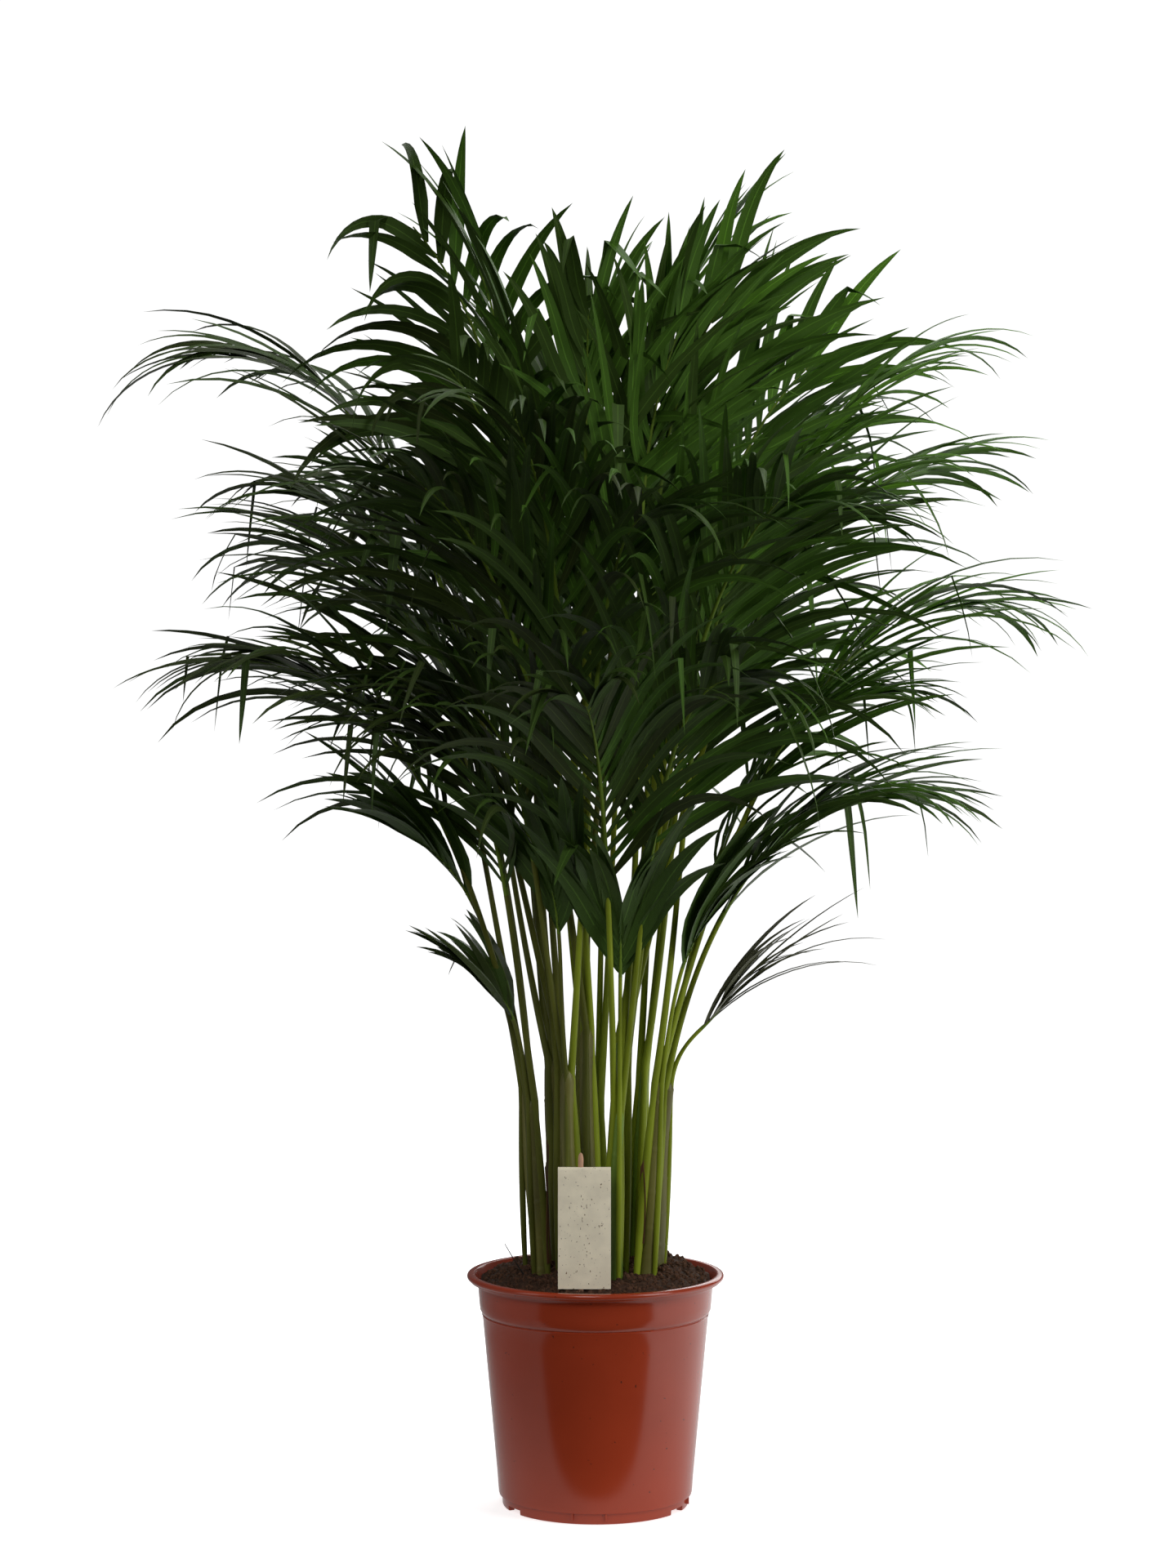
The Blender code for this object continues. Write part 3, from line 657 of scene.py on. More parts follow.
def plastic_finish(colour):
    """Glossy terracotta plastic with faint mottling, scuffs and specks of peat."""
    made, tree, shader = new_finish("terracotta_plastic", colour, 0.24, 0.55)
    plastic = mottled(tree, object_noise(tree, 9.0, 5.0), colour, 0.35, 0.92, 1.08)
    flecked(tree, shader, plastic, object_noise(tree, 240.0, 2.0), 0.73, 0.76, (0.06, 0.022, 0.014))
    add_gloss(tree, shader, object_noise(tree, 22.0, 6.0), 0.12, 0.22)
    add_bump(tree, shader, object_noise(tree, 10.0, 1.0), 0.06, 0.0012)
    return made


class PALM_OT_pot(bpy.types.Operator):
    """Turn the nursery pot, with its lip, collar, foot notches and drain holes"""
    bl_idname = "palm.pot"
    bl_label = "Pot"

    def execute(self, context):
        settings = context.scene.palm_pot
        shape = turned(pot_profile(settings.wall), settings.segments)
        pot = add_piece("nursery_pot", *shape, plastic_finish(tuple(settings.colour)), 30.0)
        cutters = []
        for bearing in POT_NOTCHES:
            centre = bearing_vector(bearing) * POT_FOOT
            cutters.append(block(centre, (0.020, 0.022, 0.0094), bearing))
        for i in range(DRAIN_HOLES):
            centre = bearing_vector(360.0 / DRAIN_HOLES * (i + 0.5)) * 0.060
            drill = [(0.0, 0.003), (0.0055, 0.003), (0.0055, 0.011), (0.0, 0.011)]
            vertices, faces = turned(drill, 24)
            cutters.append(([centre + v for v in vertices], faces))
        carve(pot, cutters)
        smooth(pot.data, 30.0)
        hand_over(pot, "pot", "pot")
        ribs = []
        for bearing in POT_RIBS:
            centre = bearing_vector(bearing) * (POT_FOOT + 0.0014) + UP * 0.0072
            ribs.append(block(centre, (0.0026, 0.0014, 0.0072), bearing))
        ticks = add_piece("pot_foot_ribs", *join_shapes(ribs), pot.data.materials[0], 30.0)
        hand_over(ticks, "pot")
        return {"FINISHED"}


# Soil

SOIL_FLOOR = 0.196
SOIL_LEVEL_RADIUS = 0.076
SOIL_FALL = 0.0095
SOIL_MOUND = (0.062, 0.058)
SOIL_MOUND_HEIGHT = 0.0105


def soil_height(x, y, lump):
    """Height of the peat: level under the canes, mounded at the back right, lumpy all over."""
    radius = math.hypot(x, y)
    fall = max(0.0, (radius - SOIL_LEVEL_RADIUS) / (SOIL_EDGE_RADIUS - SOIL_LEVEL_RADIUS))
    level = SOIL_TOP - 0.0015 - SOIL_FALL * fall * fall
    away = (x - SOIL_MOUND[0]) ** 2 + (y - SOIL_MOUND[1]) ** 2
    mound = SOIL_MOUND_HEIGHT * math.exp(-away / 0.0009)
    place = Vector((x, y, 0.0))
    coarse = noise.noise(place * 55.0) + 0.6 * noise.noise(place * 130.0)
    fine = noise.noise(place * 320.0)
    return level + mound * (1 - fall) + lump * (0.55 * coarse + 0.3 * fine)


def soil_surface(lump):
    """A closed disc of peat: its lumpy top, a short wall and a flat underside."""
    rings = 64
    around = 160
    edge = SOIL_EDGE_RADIUS - 0.0002
    corners = circle(around)
    vertices = [(0.0, 0.0, soil_height(0.0, 0.0, lump))]
    for k in range(1, rings + 1):
        radius = edge * k / rings
        for x, y in corners:
            vertices.append((radius * x, radius * y, soil_height(radius * x, radius * y, lump)))
    vertices.extend(((edge - 0.001) * x, (edge - 0.001) * y, SOIL_FLOOR) for x, y in corners)
    vertices.append((0.0, 0.0, SOIL_FLOOR))
    return vertices, ringed_faces(rings + 1, around)


def scatter_tree(finish):
    """Crumbs and short fibres strewn over the faces of a mesh, as real meshes."""
    tree, given = growing_tree("peat_crumbs", ("Density", "Float"), ("Crumb size", "Float"),
                               ("Fibre length", "Float"))
    crumb = node(tree, "GeometryNodeMeshIcoSphere", {"Subdivisions": 1, "Radius": given["Crumb size"]})
    fibre = node(tree, "GeometryNodeMeshCone", {"Vertices": 4, "Radius Bottom": 0.00035,
                                                "Radius Top": 0.00012, "Depth": given["Fibre length"]})
    joined = tree.nodes.new("GeometryNodeJoinGeometry")
    kinds = ((crumb, 1.0, (0.18, 0.18, 0.12), (1.0, 0.9, 0.7), 3),
             (fibre, 0.10, (0.7, 0.7, 0.3), (1.3, 1.3, 1.2), 8))
    for shape, share, least, most, seed in kinds:
        strew = node(tree, "GeometryNodeDistributePointsOnFaces",
                     {"Mesh": given["Geometry"], "Seed": seed,
                      "Density": plain_math(tree, "MULTIPLY", given["Density"], share)})
        size = node(tree, "FunctionNodeRandomValue", {"Min": least, "Max": most, "Seed": seed + 1},
                    data_type="FLOAT_VECTOR")
        way = node(tree, "FunctionNodeRandomValue",
                   {"Min": (-math.pi,) * 3, "Max": (math.pi,) * 3, "Seed": seed + 2},
                   data_type="FLOAT_VECTOR")
        put = node(tree, "GeometryNodeInstanceOnPoints",
                   {"Points": strew.outputs["Points"], "Instance": shape.outputs["Mesh"],
                    "Scale": size.outputs["Value"], "Rotation": way.outputs["Value"]})
        tree.links.new(put.outputs["Instances"], joined.inputs["Geometry"])
    return close_tree(tree, joined.outputs["Geometry"], finish)


class PALM_OT_soil(bpy.types.Operator):
    """Heap the lumpy peat in the pot and strew crumbs and fibres on it"""
    bl_idname = "palm.soil"
    bl_label = "Soil"

    def execute(self, context):
        settings = context.scene.palm_soil
        colour = tuple(settings.colour)
        peat = varied_finish("damp_peat", colour, 0.86, 420.0, 0.55, bump=0.0012, specular=0.25)
        soil = add_piece("peat", *soil_surface(settings.lump), peat, 60.0)
        hand_over(soil, "soil", "soil")
        near = []
        for face in soil.data.polygons:
            if face.normal.z > 0.2 and face.center.xy.length < SOIL_EDGE_RADIUS - 0.003:
                near.append(tuple(face.vertices))
        top = bpy.data.meshes.new("peat_top")
        top.from_pydata([tuple(v.co) for v in soil.data.vertices], [], near)
        values = {"Density": settings.density, "Crumb size": settings.crumb, "Fibre length": 0.011}
        loose = varied_finish("loose_peat", scaled(colour, 1.7), 0.9, 300.0, 0.5, specular=0.2)
        crumbs = grown("peat_crumbs", top, scatter_tree(loose), values)
        hand_over(crumbs, "soil")
        bark = varied_finish("black_twig", (0.012, 0.008, 0.006), 0.6, 200.0, 0.4)
        twig = []
        for i in range(9):
            share = i / 8
            place = np.array((-0.064 - 0.020 * share, -0.030, SOIL_TOP - 0.004 + 0.031 * share**1.15))
            twig.append((place, 0.0008 - 0.0004 * share))
        hand_over(add_rods("soil_twig", [twig], bark, 6), "soil")
        return {"FINISHED"}


# Label

CARD_TOP = 0.328
STAKE_FOOT = 0.205
STAKE_SHOULDER = 0.335
STAKE_DOME = 0.006
STAKE_RADIUS = 0.0024


def card_finish(colour):
    """Uncoated recycled card with flecks of bran and short fibres."""
    made, tree, shader = new_finish("recycled_card", colour, 0.82, 0.3)
    paper = mottled(tree, object_noise(tree, 70.0, 5.0), colour, 0.3, 0.90, 1.06)
    bran = object_noise(tree, 620.0, 1.0, (1.0, 1.0, 0.55))
    flecked(tree, shader, paper, bran, 0.70, 0.74, (0.24, 0.15, 0.08))
    add_bump(tree, shader, object_noise(tree, 900.0, 3.0), 0.35, 0.0002)
    return made


def folded_card(sheet):
    """A sheet folded over at the top, open at the foot, as a ribbon extruded along X."""
    left, front, foot = LABEL_LOW
    right, back, _ = LABEL_HIGH
    middle = (front + back) / 2
    bend = (back - front) / 2
    outer = [(front, foot)]
    for i in range(9):
        share = i / 8
        outer.append((front - 0.0004 * math.sin(math.pi * share),
                      foot + 0.002 + (CARD_TOP - bend - foot - 0.002) * share))
    for i in range(1, 9):
        angle = math.pi - math.pi * i / 9
        outer.append((middle + bend * math.cos(angle), CARD_TOP - bend + bend * math.sin(angle)))
    for i in range(9):
        outer.append((back, CARD_TOP - bend - (CARD_TOP - bend - foot) * (i / 8)))
    inner = []
    for y, z in reversed(outer):
        inner.append((middle + (y - middle) * (bend - sheet) / bend, min(z, CARD_TOP - sheet)))
    outline = outer + inner
    steps = 6
    vertices = []
    for i in range(steps + 1):
        x = left + (right - left) * i / steps
        belly = 0.0007 * (1 - (2 * i / steps - 1) ** 2)
        vertices.extend((x, y - belly, z) for y, z in outline)
    count = len(outline)
    faces = []
    for i in range(steps):
        for k in range(count):
            m = (k + 1) % count
            faces.append((i * count + k, i * count + m, (i + 1) * count + m, (i + 1) * count + k))
    for end in (0, steps * count):
        for k in range(len(outer) - 1):
            faces.append((end + k, end + k + 1, end + count - 2 - k, end + count - 1 - k))
    return vertices, faces


class PALM_OT_label(bpy.types.Operator):
    """Fold the blank card label over its wooden stake"""
    bl_idname = "palm.label"
    bl_label = "Label"

    def execute(self, context):
        settings = context.scene.palm_label
        paper = card_finish(tuple(settings.card))
        card = add_piece("label_card", *folded_card(settings.sheet), paper, 40.0)
        hand_over(card, "label", "label")
        wood = varied_finish("stake_wood", tuple(settings.wood), 0.7, 260.0, 0.25, (1, 1, 0.08), 0.0003)
        profile = [(0.0, STAKE_FOOT), (0.0022, STAKE_FOOT), (STAKE_RADIUS, 0.212),
                   (STAKE_RADIUS, STAKE_SHOULDER)]
        for i in range(1, 6):
            angle = math.radians(90.0 * i / 6)
            profile.append((STAKE_RADIUS * math.cos(angle), STAKE_SHOULDER + STAKE_DOME * math.sin(angle)))
        profile.append((0.0, STAKE_SHOULDER + STAKE_DOME))
        vertices, faces = turned(profile, 24)
        place = np.array((-0.0137, (LABEL_LOW[1] + LABEL_HIGH[1]) / 2, 0.0))
        vertices = [place + np.array(v) * (1.0, 0.62, 1.0) for v in vertices]
        stake = add_piece("label_stake", vertices, faces, wood, 40.0)
        hand_over(stake, "label")
        return {"FINISHED"}


# Canes

CANE_STEPS = 90
CANE_SCARS = 12
SLIM_CANES = (0.0048, 0.0062)
CAP_START = 0.94
SHEATH_THICKNESS = 0.0005


def round_frame(way):
    """Two directions square to a nearly upright one."""
    way = unit(way)
    side = unit(np.cross(way, (0.0, 1.0, 0.0)))
    return side, np.cross(way, side)


def tube(places, radii, sides, wave):
    """A closed tube through places, with a radius at each, dented by a function."""
    side, front = round_frame(places[-1] - places[0])
    vertices = [places[0]]
    for k, (place, radius) in enumerate(zip(places, radii)):
        for i in range(sides):
            angle = math.tau * i / sides
            size = radius * (1 + wave(k, angle))
            vertices.append(place + size * (math.cos(angle) * side + math.sin(angle) * front))
    vertices.append(places[-1])
    return vertices, ringed_faces(len(places), sides)


def cane_shape(index, cane, ring_step):
    """A jointed cane: swollen foot, leaf scars closer together low down, and a rounded top."""
    foot, top = cane_ends(cane)
    way = unit(top - foot)
    side = np.array((math.cos(index), math.sin(index), 0.0))
    chance = random.Random(500 + index)
    start = chance.uniform(0.0, ring_step)
    girth = CANE_FOOT_RADIUS if index % 3 == 0 else chance.uniform(*SLIM_CANES)
    scars = [start + ring_step * k * (1 + 0.10 * k) for k in range(CANE_SCARS)]
    places = []
    radii = []
    for k in range(CANE_STEPS + 1):
        share = k / CANE_STEPS
        distance = share * (cane.height + 0.012) - 0.008
        bend = 0.0012 * math.sin(2.2 * share * math.pi + index)
        radius = girth + 0.0014 * math.exp(-distance / 0.018) - 0.0010 * share
        for scar in scars:
            radius += 0.00042 * math.exp(-((distance - scar) / 0.0010) ** 2)
            radius -= 0.00022 * math.exp(-((distance - scar - 0.0024) / 0.0012) ** 2)
        if share > CAP_START:
            radius *= math.sqrt(max(0.02, 1 - ((share - CAP_START) / 0.06) ** 2))
        places.append(foot + way * distance + side * bend)
        radii.append(radius)
    phase = chance.uniform(0, 6)
    return tube(places, radii, 20, lambda k, angle: 0.022 * math.sin(5 * angle + phase + 0.03 * k)
                + 0.012 * math.sin(9 * angle + phase))


def sheath_scrap(index, cane):
    """A torn, papery strip of old leaf base, wrapped round part of a cane."""
    foot, top = cane_ends(cane)
    way = unit(top - foot)
    side, front = round_frame(way)
    chance = random.Random(900 + index)
    low = chance.uniform(0.0, 0.05)
    high = low + chance.uniform(0.05, 0.13)
    middle = chance.uniform(0, math.tau)
    wrap = math.radians(chance.uniform(50, 110))
    rows = 14
    columns = 10
    vertices = []
    for skin in (0, 1):
        for r in range(rows + 1):
            share = r / rows
            narrow = 1 - 0.75 * share**1.8
            for c in range(columns + 1):
                across = c / columns - 0.5
                angle = middle + wrap * across * narrow + 0.25 * share
                tear = chance.uniform(-0.003, 0.003) if r == rows and not skin else 0.0
                curl = 0.0030 * share**2 * (1 + abs(across))
                radius = CANE_FOOT_RADIUS + 0.0016 + skin * SHEATH_THICKNESS + curl
                height = low + (high - low) * share - 0.012 * abs(across) * share + tear
                vertices.append(foot + way * height
                                + radius * (math.cos(angle) * side + math.sin(angle) * front))
    wide = columns + 1
    count = (rows + 1) * wide
    faces = []
    for r in range(rows):
        for c in range(columns):
            a = r * wide + c
            faces.append((a, a + 1, a + wide + 1, a + wide))
            faces.append((count + a, count + a + wide, count + a + wide + 1, count + a + 1))
    rim = list(range(wide))
    rim += [r * wide + columns for r in range(1, rows + 1)]
    rim += [rows * wide + c for c in range(columns - 1, -1, -1)]
    rim += [r * wide for r in range(rows - 1, 0, -1)]
    for a, b in zip(rim, rim[1:] + rim[:1]):
        faces.append((a, b, count + b, count + a))
    return vertices, faces


class PALM_OT_canes(bpy.types.Operator):
    """Shape the ringed canes and the dry scraps of sheath on them"""
    bl_idname = "palm.canes"
    bl_label = "Canes"

    def execute(self, context):
        settings = context.scene.palm_canes
        kinds = {"olive": ([], []), "green": ([], [])}
        scraps = []
        for index, cane in enumerate(canes()):
            shapes, nodes = kinds["olive" if cane.x < -0.005 or index % 4 == 0 else "green"]
            shapes.append(cane_shape(index, cane, settings.ring_step))
            nodes.append(CANE_NODES[index])
            if index % 3 != 1:
                scraps.append(sheath_scrap(index * 3, cane))
        for kind, (shapes, nodes) in kinds.items():
            colour = tuple(getattr(settings, kind))
            finish = varied_finish(f"{kind}_cane", colour, 0.45, 60.0, 0.35, (1, 1, 0.15), 0.0004)
            piece = add_piece(f"canes_{kind}", *join_shapes(shapes), finish, 60.0)
            hand_over(piece, "canes", *nodes)
        finish = varied_finish("dry_sheath", tuple(settings.sheath), 0.75, 220.0, 0.5, (1, 1, 0.06), 0.0004)
        piece = add_piece("sheath_scraps", *join_shapes(scraps), finish, 40.0)
        hand_over(piece, "canes")
        return {"FINISHED"}


# Fronds

RIB_STEPS = 20
PETIOLE_STEPS_DOWN = 10
PETIOLE_FOOT_HALF = 0.0036
PETIOLE_TAPER = 0.0010
RACHIS_TAPER = 0.0019
LEAFLET_RINGS = 11
LEAFLET_THICKNESS = 0.0012
STEEPEST_FALL = -1.45
LEAFLET_LENGTHS = (0.95, 1.11)
LEAFLET_WIDTHS = (0.8, 1.12)
LEAFLET_DROOPS = (0.5, 1.5)
DROOP_SHARES = {"tall": 0.75, "plume": 1.45}
UPRIGHT_FULLNESS = 0.92
KINKED_SHARE = 0.07


def rod_tree(finish):
    """Round rods along the edges of a mesh, as thick as its attribute half says."""
    tree, given = growing_tree(f"rods_{finish.name}", ("Sides", "Int"), ("Thickness", "Float"))
    half = node(tree, "GeometryNodeInputNamedAttribute", {"Name": "half"}).outputs["Attribute"]
    path = node(tree, "GeometryNodeMeshToCurve", {"Mesh": given["Geometry"]})
    ring = node(tree, "GeometryNodeCurvePrimitiveCircle", {"Resolution": given["Sides"], "Radius": 1.0})
    sweep = node(tree, "GeometryNodeCurveToMesh",
                 {"Curve": path.outputs["Curve"], "Profile Curve": ring.outputs["Curve"],
                  "Scale": plain_math(tree, "MULTIPLY", half, given["Thickness"]), "Fill Caps": True})
    soft = node(tree, "GeometryNodeSetShadeSmooth", {"Geometry": sweep.outputs["Mesh"]})
    return close_tree(tree, soft.outputs["Geometry"], finish)


def add_rods(name, lines, finish, sides):
    """Rods through each line of (place, half width) points, joined in one piece."""
    vertices = []
    edges = []
    halves = []
    for line in lines:
        first = len(vertices)
        for place, half in line:
            vertices.append(tuple(place))
            halves.append(half)
        edges.extend((first + i, first + i + 1) for i in range(len(line) - 1))
    mesh = bpy.data.meshes.new(name)
    mesh.from_pydata(vertices, edges, [])
    mesh.attributes.new("half", "FLOAT", "POINT").data.foreach_set("value", halves)
    return grown(name, mesh, rod_tree(finish), {"Sides": sides, "Thickness": 1.0})


def rib_half(t, bare):
    """Half the width of a stalk: stout at its foot, slim where the leaflets end."""
    if t < bare:
        return PETIOLE_FOOT_HALF - PETIOLE_TAPER * min(1.0, t / bare * 1.8) ** 0.8
    return PETIOLE_FOOT_HALF - PETIOLE_TAPER - RACHIS_TAPER * (t - bare) / (1 - bare)


def rib_lines(frond, points):
    """Petiole and rachis of one frond, as two lines that meet where its leaflets begin.

    The petiole starts in the soil and comes up beside its cane.
    """
    bare = STYLES[frond.style].bare
    slim = 0.72 if frond.style in ("young", "sprout") else 1.0
    foot, top = min((cane_ends(cane) for cane in canes()),
                    key=lambda ends: np.linalg.norm(ends[1] - points[0]))
    outward = unit((points[0] - top) * LEVEL)
    spread = random.Random(name_sum(frond) + 7).uniform(0.0060, 0.0115)
    petiole = []
    for i in range(PETIOLE_STEPS_DOWN):
        share = i / PETIOLE_STEPS_DOWN
        offset = spread + (FROND_FOOT_OFFSET - spread) * share**1.5
        place = foot + (top - foot) * share + outward * offset - UP * 0.006 * (1 - share)
        petiole.append((place, (0.0030 + 0.0012 * math.sin(math.pi * min(1.0, share * 1.1))) * slim))
    rachis = []
    for line, start, end in ((petiole, 0.0, bare), (rachis, bare, 1.0)):
        for i in range(RIB_STEPS + 1):
            t = start + (end - start) * i / RIB_STEPS
            line.append((on_curve(points, t)[0], rib_half(t, bare) * slim))
    return petiole, rachis


def leaflet_path(root, way, out, normal, length, droop, kink, kink_at):
    """Points along one leaflet, which bends down towards its lower side and may be kinked."""
    level = unit((way - normal * LOWER_SIDE_PULL + out * OUTWARD_PULL) * LEVEL)
    rise = math.atan2(way[2], math.hypot(way[0], way[1]))
    places = [root]
    ways = []
    for i in range(LEAFLET_RINGS):
        share = (i + 1) / LEAFLET_RINGS
        slope = max(STEEPEST_FALL, rise - droop * share**1.6 - (kink if share > kink_at else 0.0))
        bent = math.cos(slope) * level + math.sin(slope) * UP
        heading = unit(way * max(0.0, 1 - 2.5 * share) + bent * min(1.0, 2.5 * share))
        places.append(places[-1] + heading * length / LEAFLET_RINGS)
        ways.append(heading)
    return places, ways


def blade(places, ways, along, normal, half, twist):
    """A thin closed blade, creased along its middle, that ends in a point."""
    vertices = []
    marks = []
    width = along
    count = len(places) - 1
    for k in range(count):
        heading = ways[k]
        width = unit(width - heading * float(width @ heading))
        face = np.cross(heading, width)
        if face @ normal < 0:
            face = -face
        turn = twist * k / count
        across = width * math.cos(turn) + face * math.sin(turn)
        above = face * math.cos(turn) - width * math.sin(turn)
        share = k / count
        wide = half * min(1.0, 0.30 + 2.6 * share) * (1 - share**2.4) ** 0.85
        fold = 0.26 * wide
        deep = LEAFLET_THICKNESS * (1 - 0.6 * share)
        place = places[k]
        vertices.extend((place - across * wide - above * fold, place + above * deep / 2,
                         place + across * wide - above * fold, place - above * deep / 2))
        marks.extend(((0.0, share), (0.5, share), (1.0, share), (0.5, share)))
    vertices.append(places[-1])
    marks.append((0.5, 1.0))
    return vertices, marks


def blade_faces():
    """Faces of one leaflet, counted from its first vertex."""
    faces = [(0, 1, 2, 3)]
    last = 4 * LEAFLET_RINGS
    for k in range(LEAFLET_RINGS - 1):
        low = 4 * k
        for i in range(4):
            j = (i + 1) % 4
            faces.append((low + j, low + i, low + 4 + i, low + 4 + j))
    top = last - 4
    for i in range(4):
        faces.append((top + (i + 1) % 4, top + i, last))
    return faces


def leaflet_tint(frond, place, chance):
    """Painted shade and light: darker at the left and low down, lighter to the right, high up and at the
    back.
    """
    if frond.name == DRY_FROND:
        return "dry"
    if frond.style == "young":
        return "young" if chance.random() < 0.75 else "dark"
    # Painted shade and light: the score rises to the right, high up and at the back, with a random spread,
    # and picks a tint from deep to the lightest
    score = 1.75 + 3.0 * place[0] + 1.6 * (place[2] - 0.85) + 1.1 * place[1] + chance.uniform(-0.75, 0.75)
    return TINTS[min(3, max(0, int(score)))]


def frond_leaflets(frond, points, out, fullness):
    """Yields each leaflet's vertices, marks and tint, by the source's rule but in finer number."""
    style = STYLES[frond.style]
    chance = random.Random(name_sum(frond) * 97)
    upright = frond.style in UPRIGHT
    count = round(style.pairs * (UPRIGHT_FULLNESS if upright else fullness))
    slender = 0.86 if upright or style.pairs < 10 else 0.68
    if frond.name == DRY_FROND:
        slender = 0.26
    for k in range(count):
        for sign in (-1, 1):
            u = min(1.0, (k + 0.25 * (sign > 0)) / (count - 1))
            t = style.bare + (1 - style.bare) * min(0.995, (k + 0.5 + 0.3 * (sign > 0)) / (count + 0.3))
            place, along, side, normal = rib_frame(frond, points, out, t)
            angle = math.radians(46 - 24 * u + chance.uniform(-6, 6)) * style.spread
            rise = math.radians(style.rise + chance.uniform(-14, 14))
            way = math.cos(angle) * along + math.sin(angle) * (math.cos(rise) * sign * side
                                                               + math.sin(rise) * normal)
            profile = 0.74 + 0.26 * math.sin(math.pi * min(1, u * 1.2 + 0.15)) - 0.22 * u
            length = style.leaf * profile * chance.uniform(*LEAFLET_LENGTHS)
            droop = style.droop * chance.uniform(*LEAFLET_DROOPS) * DROOP_SHARES.get(frond.style, 1.0)
            kink = chance.uniform(0.9, 1.7) if chance.random() < KINKED_SHARE else 0.0
            kink_at = chance.uniform(0.45, 0.8)
            places, ways = leaflet_path(place, way, out, normal, length, droop, kink, kink_at)
            half = style.width * (0.8 + 0.2 * profile) / 2 * slender * chance.uniform(*LEAFLET_WIDTHS)
            shape, marks = blade(places, ways, along, normal, half, chance.uniform(-0.7, 0.7))
            yield shape, marks, leaflet_tint(frond, places[len(places) // 2], chance)


def leaflet_finish(name, colour):
    """Satin leaf skin: plain tint, parallel veins along the blade and a paler midrib."""
    made, tree, shader = new_finish(name, colour, 0.36, 0.16)
    marks = node(tree, "ShaderNodeUVMap", {}, uv_map="blade").outputs["UV"]
    across = node(tree, "ShaderNodeSeparateXYZ", {"Vector": marks}).outputs["X"]
    waves = plain_math(tree, "SINE", plain_math(tree, "MULTIPLY", across, 16 * math.tau))
    veins = mottled(tree, value_range(tree, waves, 0.0, 1.0), colour, 0.0, 0.86, 1.12)
    midrib = plain_math(tree, "COMPARE", across, 0.5, 0.035)
    paint_over(tree, shader, veins, midrib, (*scaled(colour, 1.8), 1.0))
    add_gloss(tree, shader, object_noise(tree, 26.0), 0.34, 0.52)
    add_bump(tree, shader, waves, 0.25, 0.0002)
    return made


class PALM_OT_fronds(bpy.types.Operator):
    """Grow the fronds: petioles and rachises as rods, then the leaflets in their tints"""
    bl_idname = "palm.fronds"
    bl_label = "Fronds"

    def execute(self, context):
        settings = context.scene.palm_fronds
        ribs = {"petioles": [], "old_petioles": [], "rachises": []}
        leaflets = {tint: ([], []) for tint in TINTS}
        faces = blade_faces()
        for frond, points, out in clear_spines():
            petiole, rachis = rib_lines(frond, points)
            # Painted shade: stalks whose foot stands at the left, give or take a random shift, take the
            # darker, slightly browner colour
            old = points[0][0] + random.Random(name_sum(frond) + 3).uniform(-0.02, 0.02) < -0.012
            ribs["old_petioles" if old else "petioles"].append(petiole)
            ribs["rachises"].append(rachis)
            for vertices, marks, tint in frond_leaflets(frond, points, out, settings.fullness):
                leaflets[tint][0].append((vertices, faces))
                leaflets[tint][1].extend(marks)
        colours = (settings.petiole, settings.old_petiole, settings.rachis)
        for (name, lines), colour in zip(ribs.items(), colours):
            finish = varied_finish(f"{name}_skin", tuple(colour), 0.42, 45.0, 0.3, (1, 1, 0.2), 0.0002, 0.18)
            hand_over(add_rods(name, lines, finish, 10), "fronds", *FROND_NODES)
        for tint, (shapes, marks) in leaflets.items():
            finish = leaflet_finish(f"{tint}_leaf", tuple(getattr(settings, tint)))
            piece = add_piece(f"leaflets_{tint}", *join_shapes(shapes), finish, 24.0)
            layer = piece.data.uv_layers.new(name="blade")
            corners = np.empty(len(piece.data.loops), dtype=np.int32)
            piece.data.loops.foreach_get("vertex_index", corners)
            layer.data.foreach_set("uv", np.array(marks)[corners].ravel())
            hand_over(piece, "fronds", *FROND_NODES)
        return {"FINISHED"}


# Stage

FLOOR_GLOW = (0.72, 1.1)
FLOOR_GLOW_REACH = (0.25, 1.6)
FLOOR_BOUNCE = (0.03, 0.78)
FLOOR_BOUNCE_REACH = (-0.5, 0.5)
FLOOR_SHADE_EDGE = (-0.112, -0.088)
SKY = (0.10, 1.05)

# Soft lights: place, aim, size and share of the key light
LIGHTS = {
    "right_softbox": ((2.0, -1.3, 1.5), (0.0, 0.0, 0.5), (1.2, 2.4), 1.0),
    "left_softbox": ((-2.2, -1.2, 1.2), (0.0, 0.0, 0.4), (0.9, 2.2), 0.22),
    "front_softbox": ((-0.5, -3.0, 2.3), (0.0, 0.0, 0.6), (1.2, 1.2), 0.85),
    "top_softbox": ((0.3, 0.6, 2.9), (0.0, 0.0, 0.7), (1.8, 1.8), 0.8),
    "back_softbox": ((0.9, 2.4, 1.5), (0.0, 0.0, 0.8), (1.8, 1.6), 0.7),
}


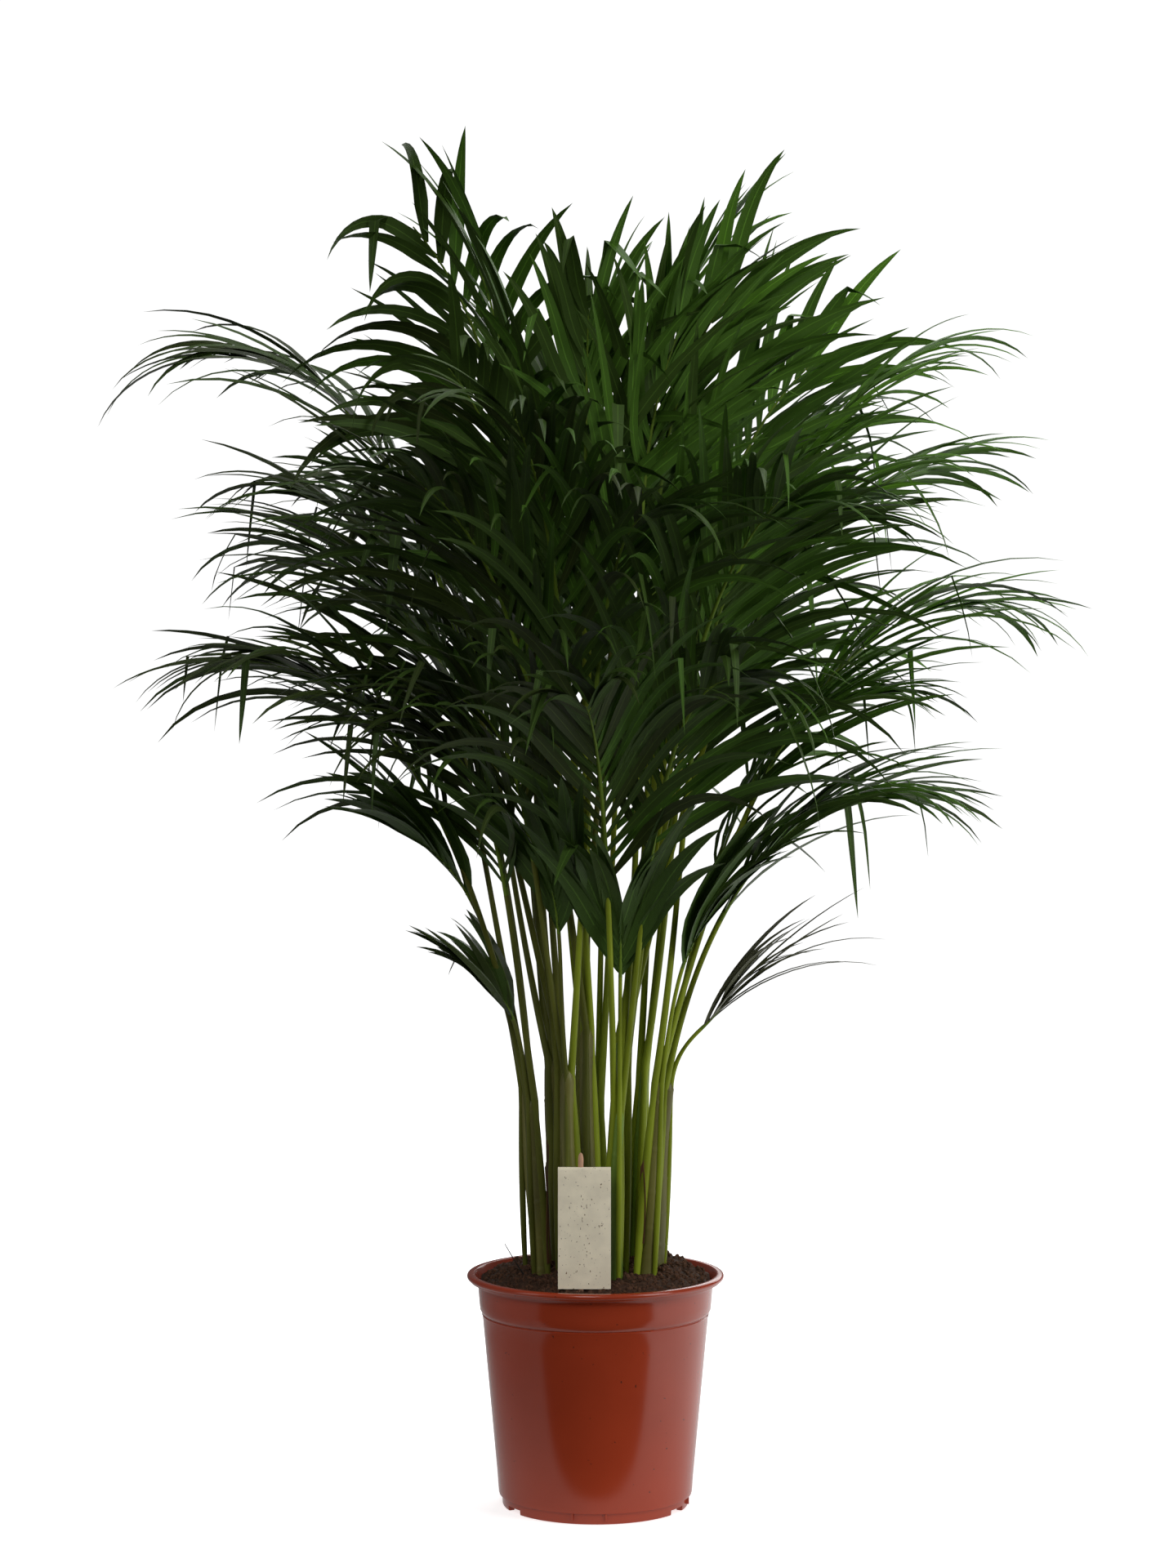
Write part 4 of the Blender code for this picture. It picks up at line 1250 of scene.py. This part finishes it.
def floor_glow(tree):
    """A pale floor that fades to white far off, and lights the plant from both sides.

    In front of the pot the floor is unlit, which leaves the rounded dark patch that a
    tapered glossy pot shows between its two side reflections.
    """
    place = node(tree, "ShaderNodeTexCoord", {}).outputs["Object"]
    parts = node(tree, "ShaderNodeSeparateXYZ", {"Vector": place}).outputs
    x = parts["X"]
    square = plain_math(tree, "MULTIPLY", x, x)
    rounded = plain_math(tree, "SQRT", plain_math(tree, "ADD", square, 0.01))
    front = plain_math(tree, "ADD", parts["Y"], plain_math(tree, "MULTIPLY", rounded, 0.5))
    lit = value_range(tree, front, 0.0, 1.0, *FLOOR_SHADE_EDGE)
    bounce = value_range(tree, x, *FLOOR_BOUNCE, *FLOOR_BOUNCE_REACH)
    reach = node(tree, "ShaderNodeVectorMath", {0: place}, operation="LENGTH").outputs["Value"]
    shown = value_range(tree, reach, *FLOOR_GLOW, *FLOOR_GLOW_REACH)
    seen = node(tree, "ShaderNodeLightPath", {}).outputs["Is Camera Ray"]
    unseen = plain_math(tree, "MULTIPLY", lit, bounce)
    mix = node(tree, "ShaderNodeMix", {"Factor": seen, "A": unseen, "B": shown})
    return mix.outputs["Result"], lit, seen


def floor_finish(colour):
    """Pale, faintly clouded floor that glows by itself, and is dark grey to the plant's light."""
    made, tree, shader = new_finish("pale_floor", colour, 0.9, 0.1)
    shader.inputs["Emission Color"].default_value = (1.0, 1.0, 1.0, 1.0)
    glow, lit, seen = floor_glow(tree)
    tree.links.new(glow, shader.inputs["Emission Strength"])
    grain = ramp(tree, object_noise(tree, 3.0), ((0.0, scaled(colour, 0.99)), (1.0, colour)))
    paint_over(tree, shader, ramp(tree, lit, ((0.0, (0.02,) * 3), (1.0, (0.4,) * 3))), seen, grain)
    return made


class PALM_OT_stage(bpy.types.Operator):
    """Set the pale floor, the soft studio lights and the camera"""
    bl_idname = "palm.stage"
    bl_label = "Stage"

    def execute(self, context):
        settings = context.scene.palm_stage
        scene = context.scene
        floor = block((0.0, 0.0, -0.0105), (9.0, 9.0, 0.02), 0.0)
        add_piece("floor", *floor, floor_finish(tuple(settings.floor)))
        for name, (place, aim, size, share) in LIGHTS.items():
            data = bpy.data.lights.new(name, "AREA")
            data.shape = "RECTANGLE"
            data.size, data.size_y = size
            data.energy = settings.key * share
            light = add_object(name, data)
            light.location = place
            light.rotation_euler = (Vector(aim) - Vector(place)).to_track_quat("-Z", "Y").to_euler()
        scene.world = bpy.data.worlds.new("studio")
        scene.world.use_nodes = True
        tree = scene.world.node_tree
        sky = tree.nodes["Background"]
        sky.inputs["Color"].default_value = (1.0, 1.0, 1.0, 1.0)
        seen = node(tree, "ShaderNodeLightPath", {}).outputs["Is Camera Ray"]
        tree.links.new(value_range(tree, seen, *SKY), sky.inputs["Strength"])
        scene.view_settings.view_transform = "Standard"
        data = bpy.data.cameras.new("camera")
        data.lens = CAMERA_LENS
        camera = add_object("camera", data)
        camera.location = CAMERA_PLACE
        camera.rotation_euler = (math.radians(CAMERA_TILT), 0.0, 0.0)
        scene.camera = camera
        return {"FINISHED"}


class PALM_PT_parts(bpy.types.Panel):
    """Lists the palm's settings and the buttons that build its parts"""
    bl_idname = "PALM_PT_parts"
    bl_label = "Potted areca palm"
    bl_space_type = "VIEW_3D"
    bl_region_type = "UI"
    bl_category = "Palm"

    def draw(self, context):
        for name, group in SETTINGS.items():
            part = name.removeprefix("palm_")
            box = self.layout.box()
            for prop in group.__annotations__:
                box.prop(getattr(context.scene, name), prop)
            box.operator(f"palm.{part}")


SETTINGS = {
    "palm_pot": PotSettings,
    "palm_soil": SoilSettings,
    "palm_label": LabelSettings,
    "palm_canes": CaneSettings,
    "palm_fronds": FrondSettings,
    "palm_stage": StageSettings,
}
CLASSES = (*SETTINGS.values(), PALM_OT_pot, PALM_OT_soil, PALM_OT_label, PALM_OT_canes,
           PALM_OT_fronds, PALM_OT_stage, PALM_PT_parts)


def register():
    for each in CLASSES:
        bpy.utils.register_class(each)
    for name, group in SETTINGS.items():
        setattr(bpy.types.Scene, name, PointerProperty(type=group))


def unregister():
    for name in SETTINGS:
        delattr(bpy.types.Scene, name)
    for each in reversed(CLASSES):
        bpy.utils.unregister_class(each)


def main():
    register()
    bpy.ops.palm.pot()
    bpy.ops.palm.soil()
    bpy.ops.palm.label()
    bpy.ops.palm.canes()
    bpy.ops.palm.fronds()
    bpy.ops.palm.stage()


if __name__ == "__main__":
    main()
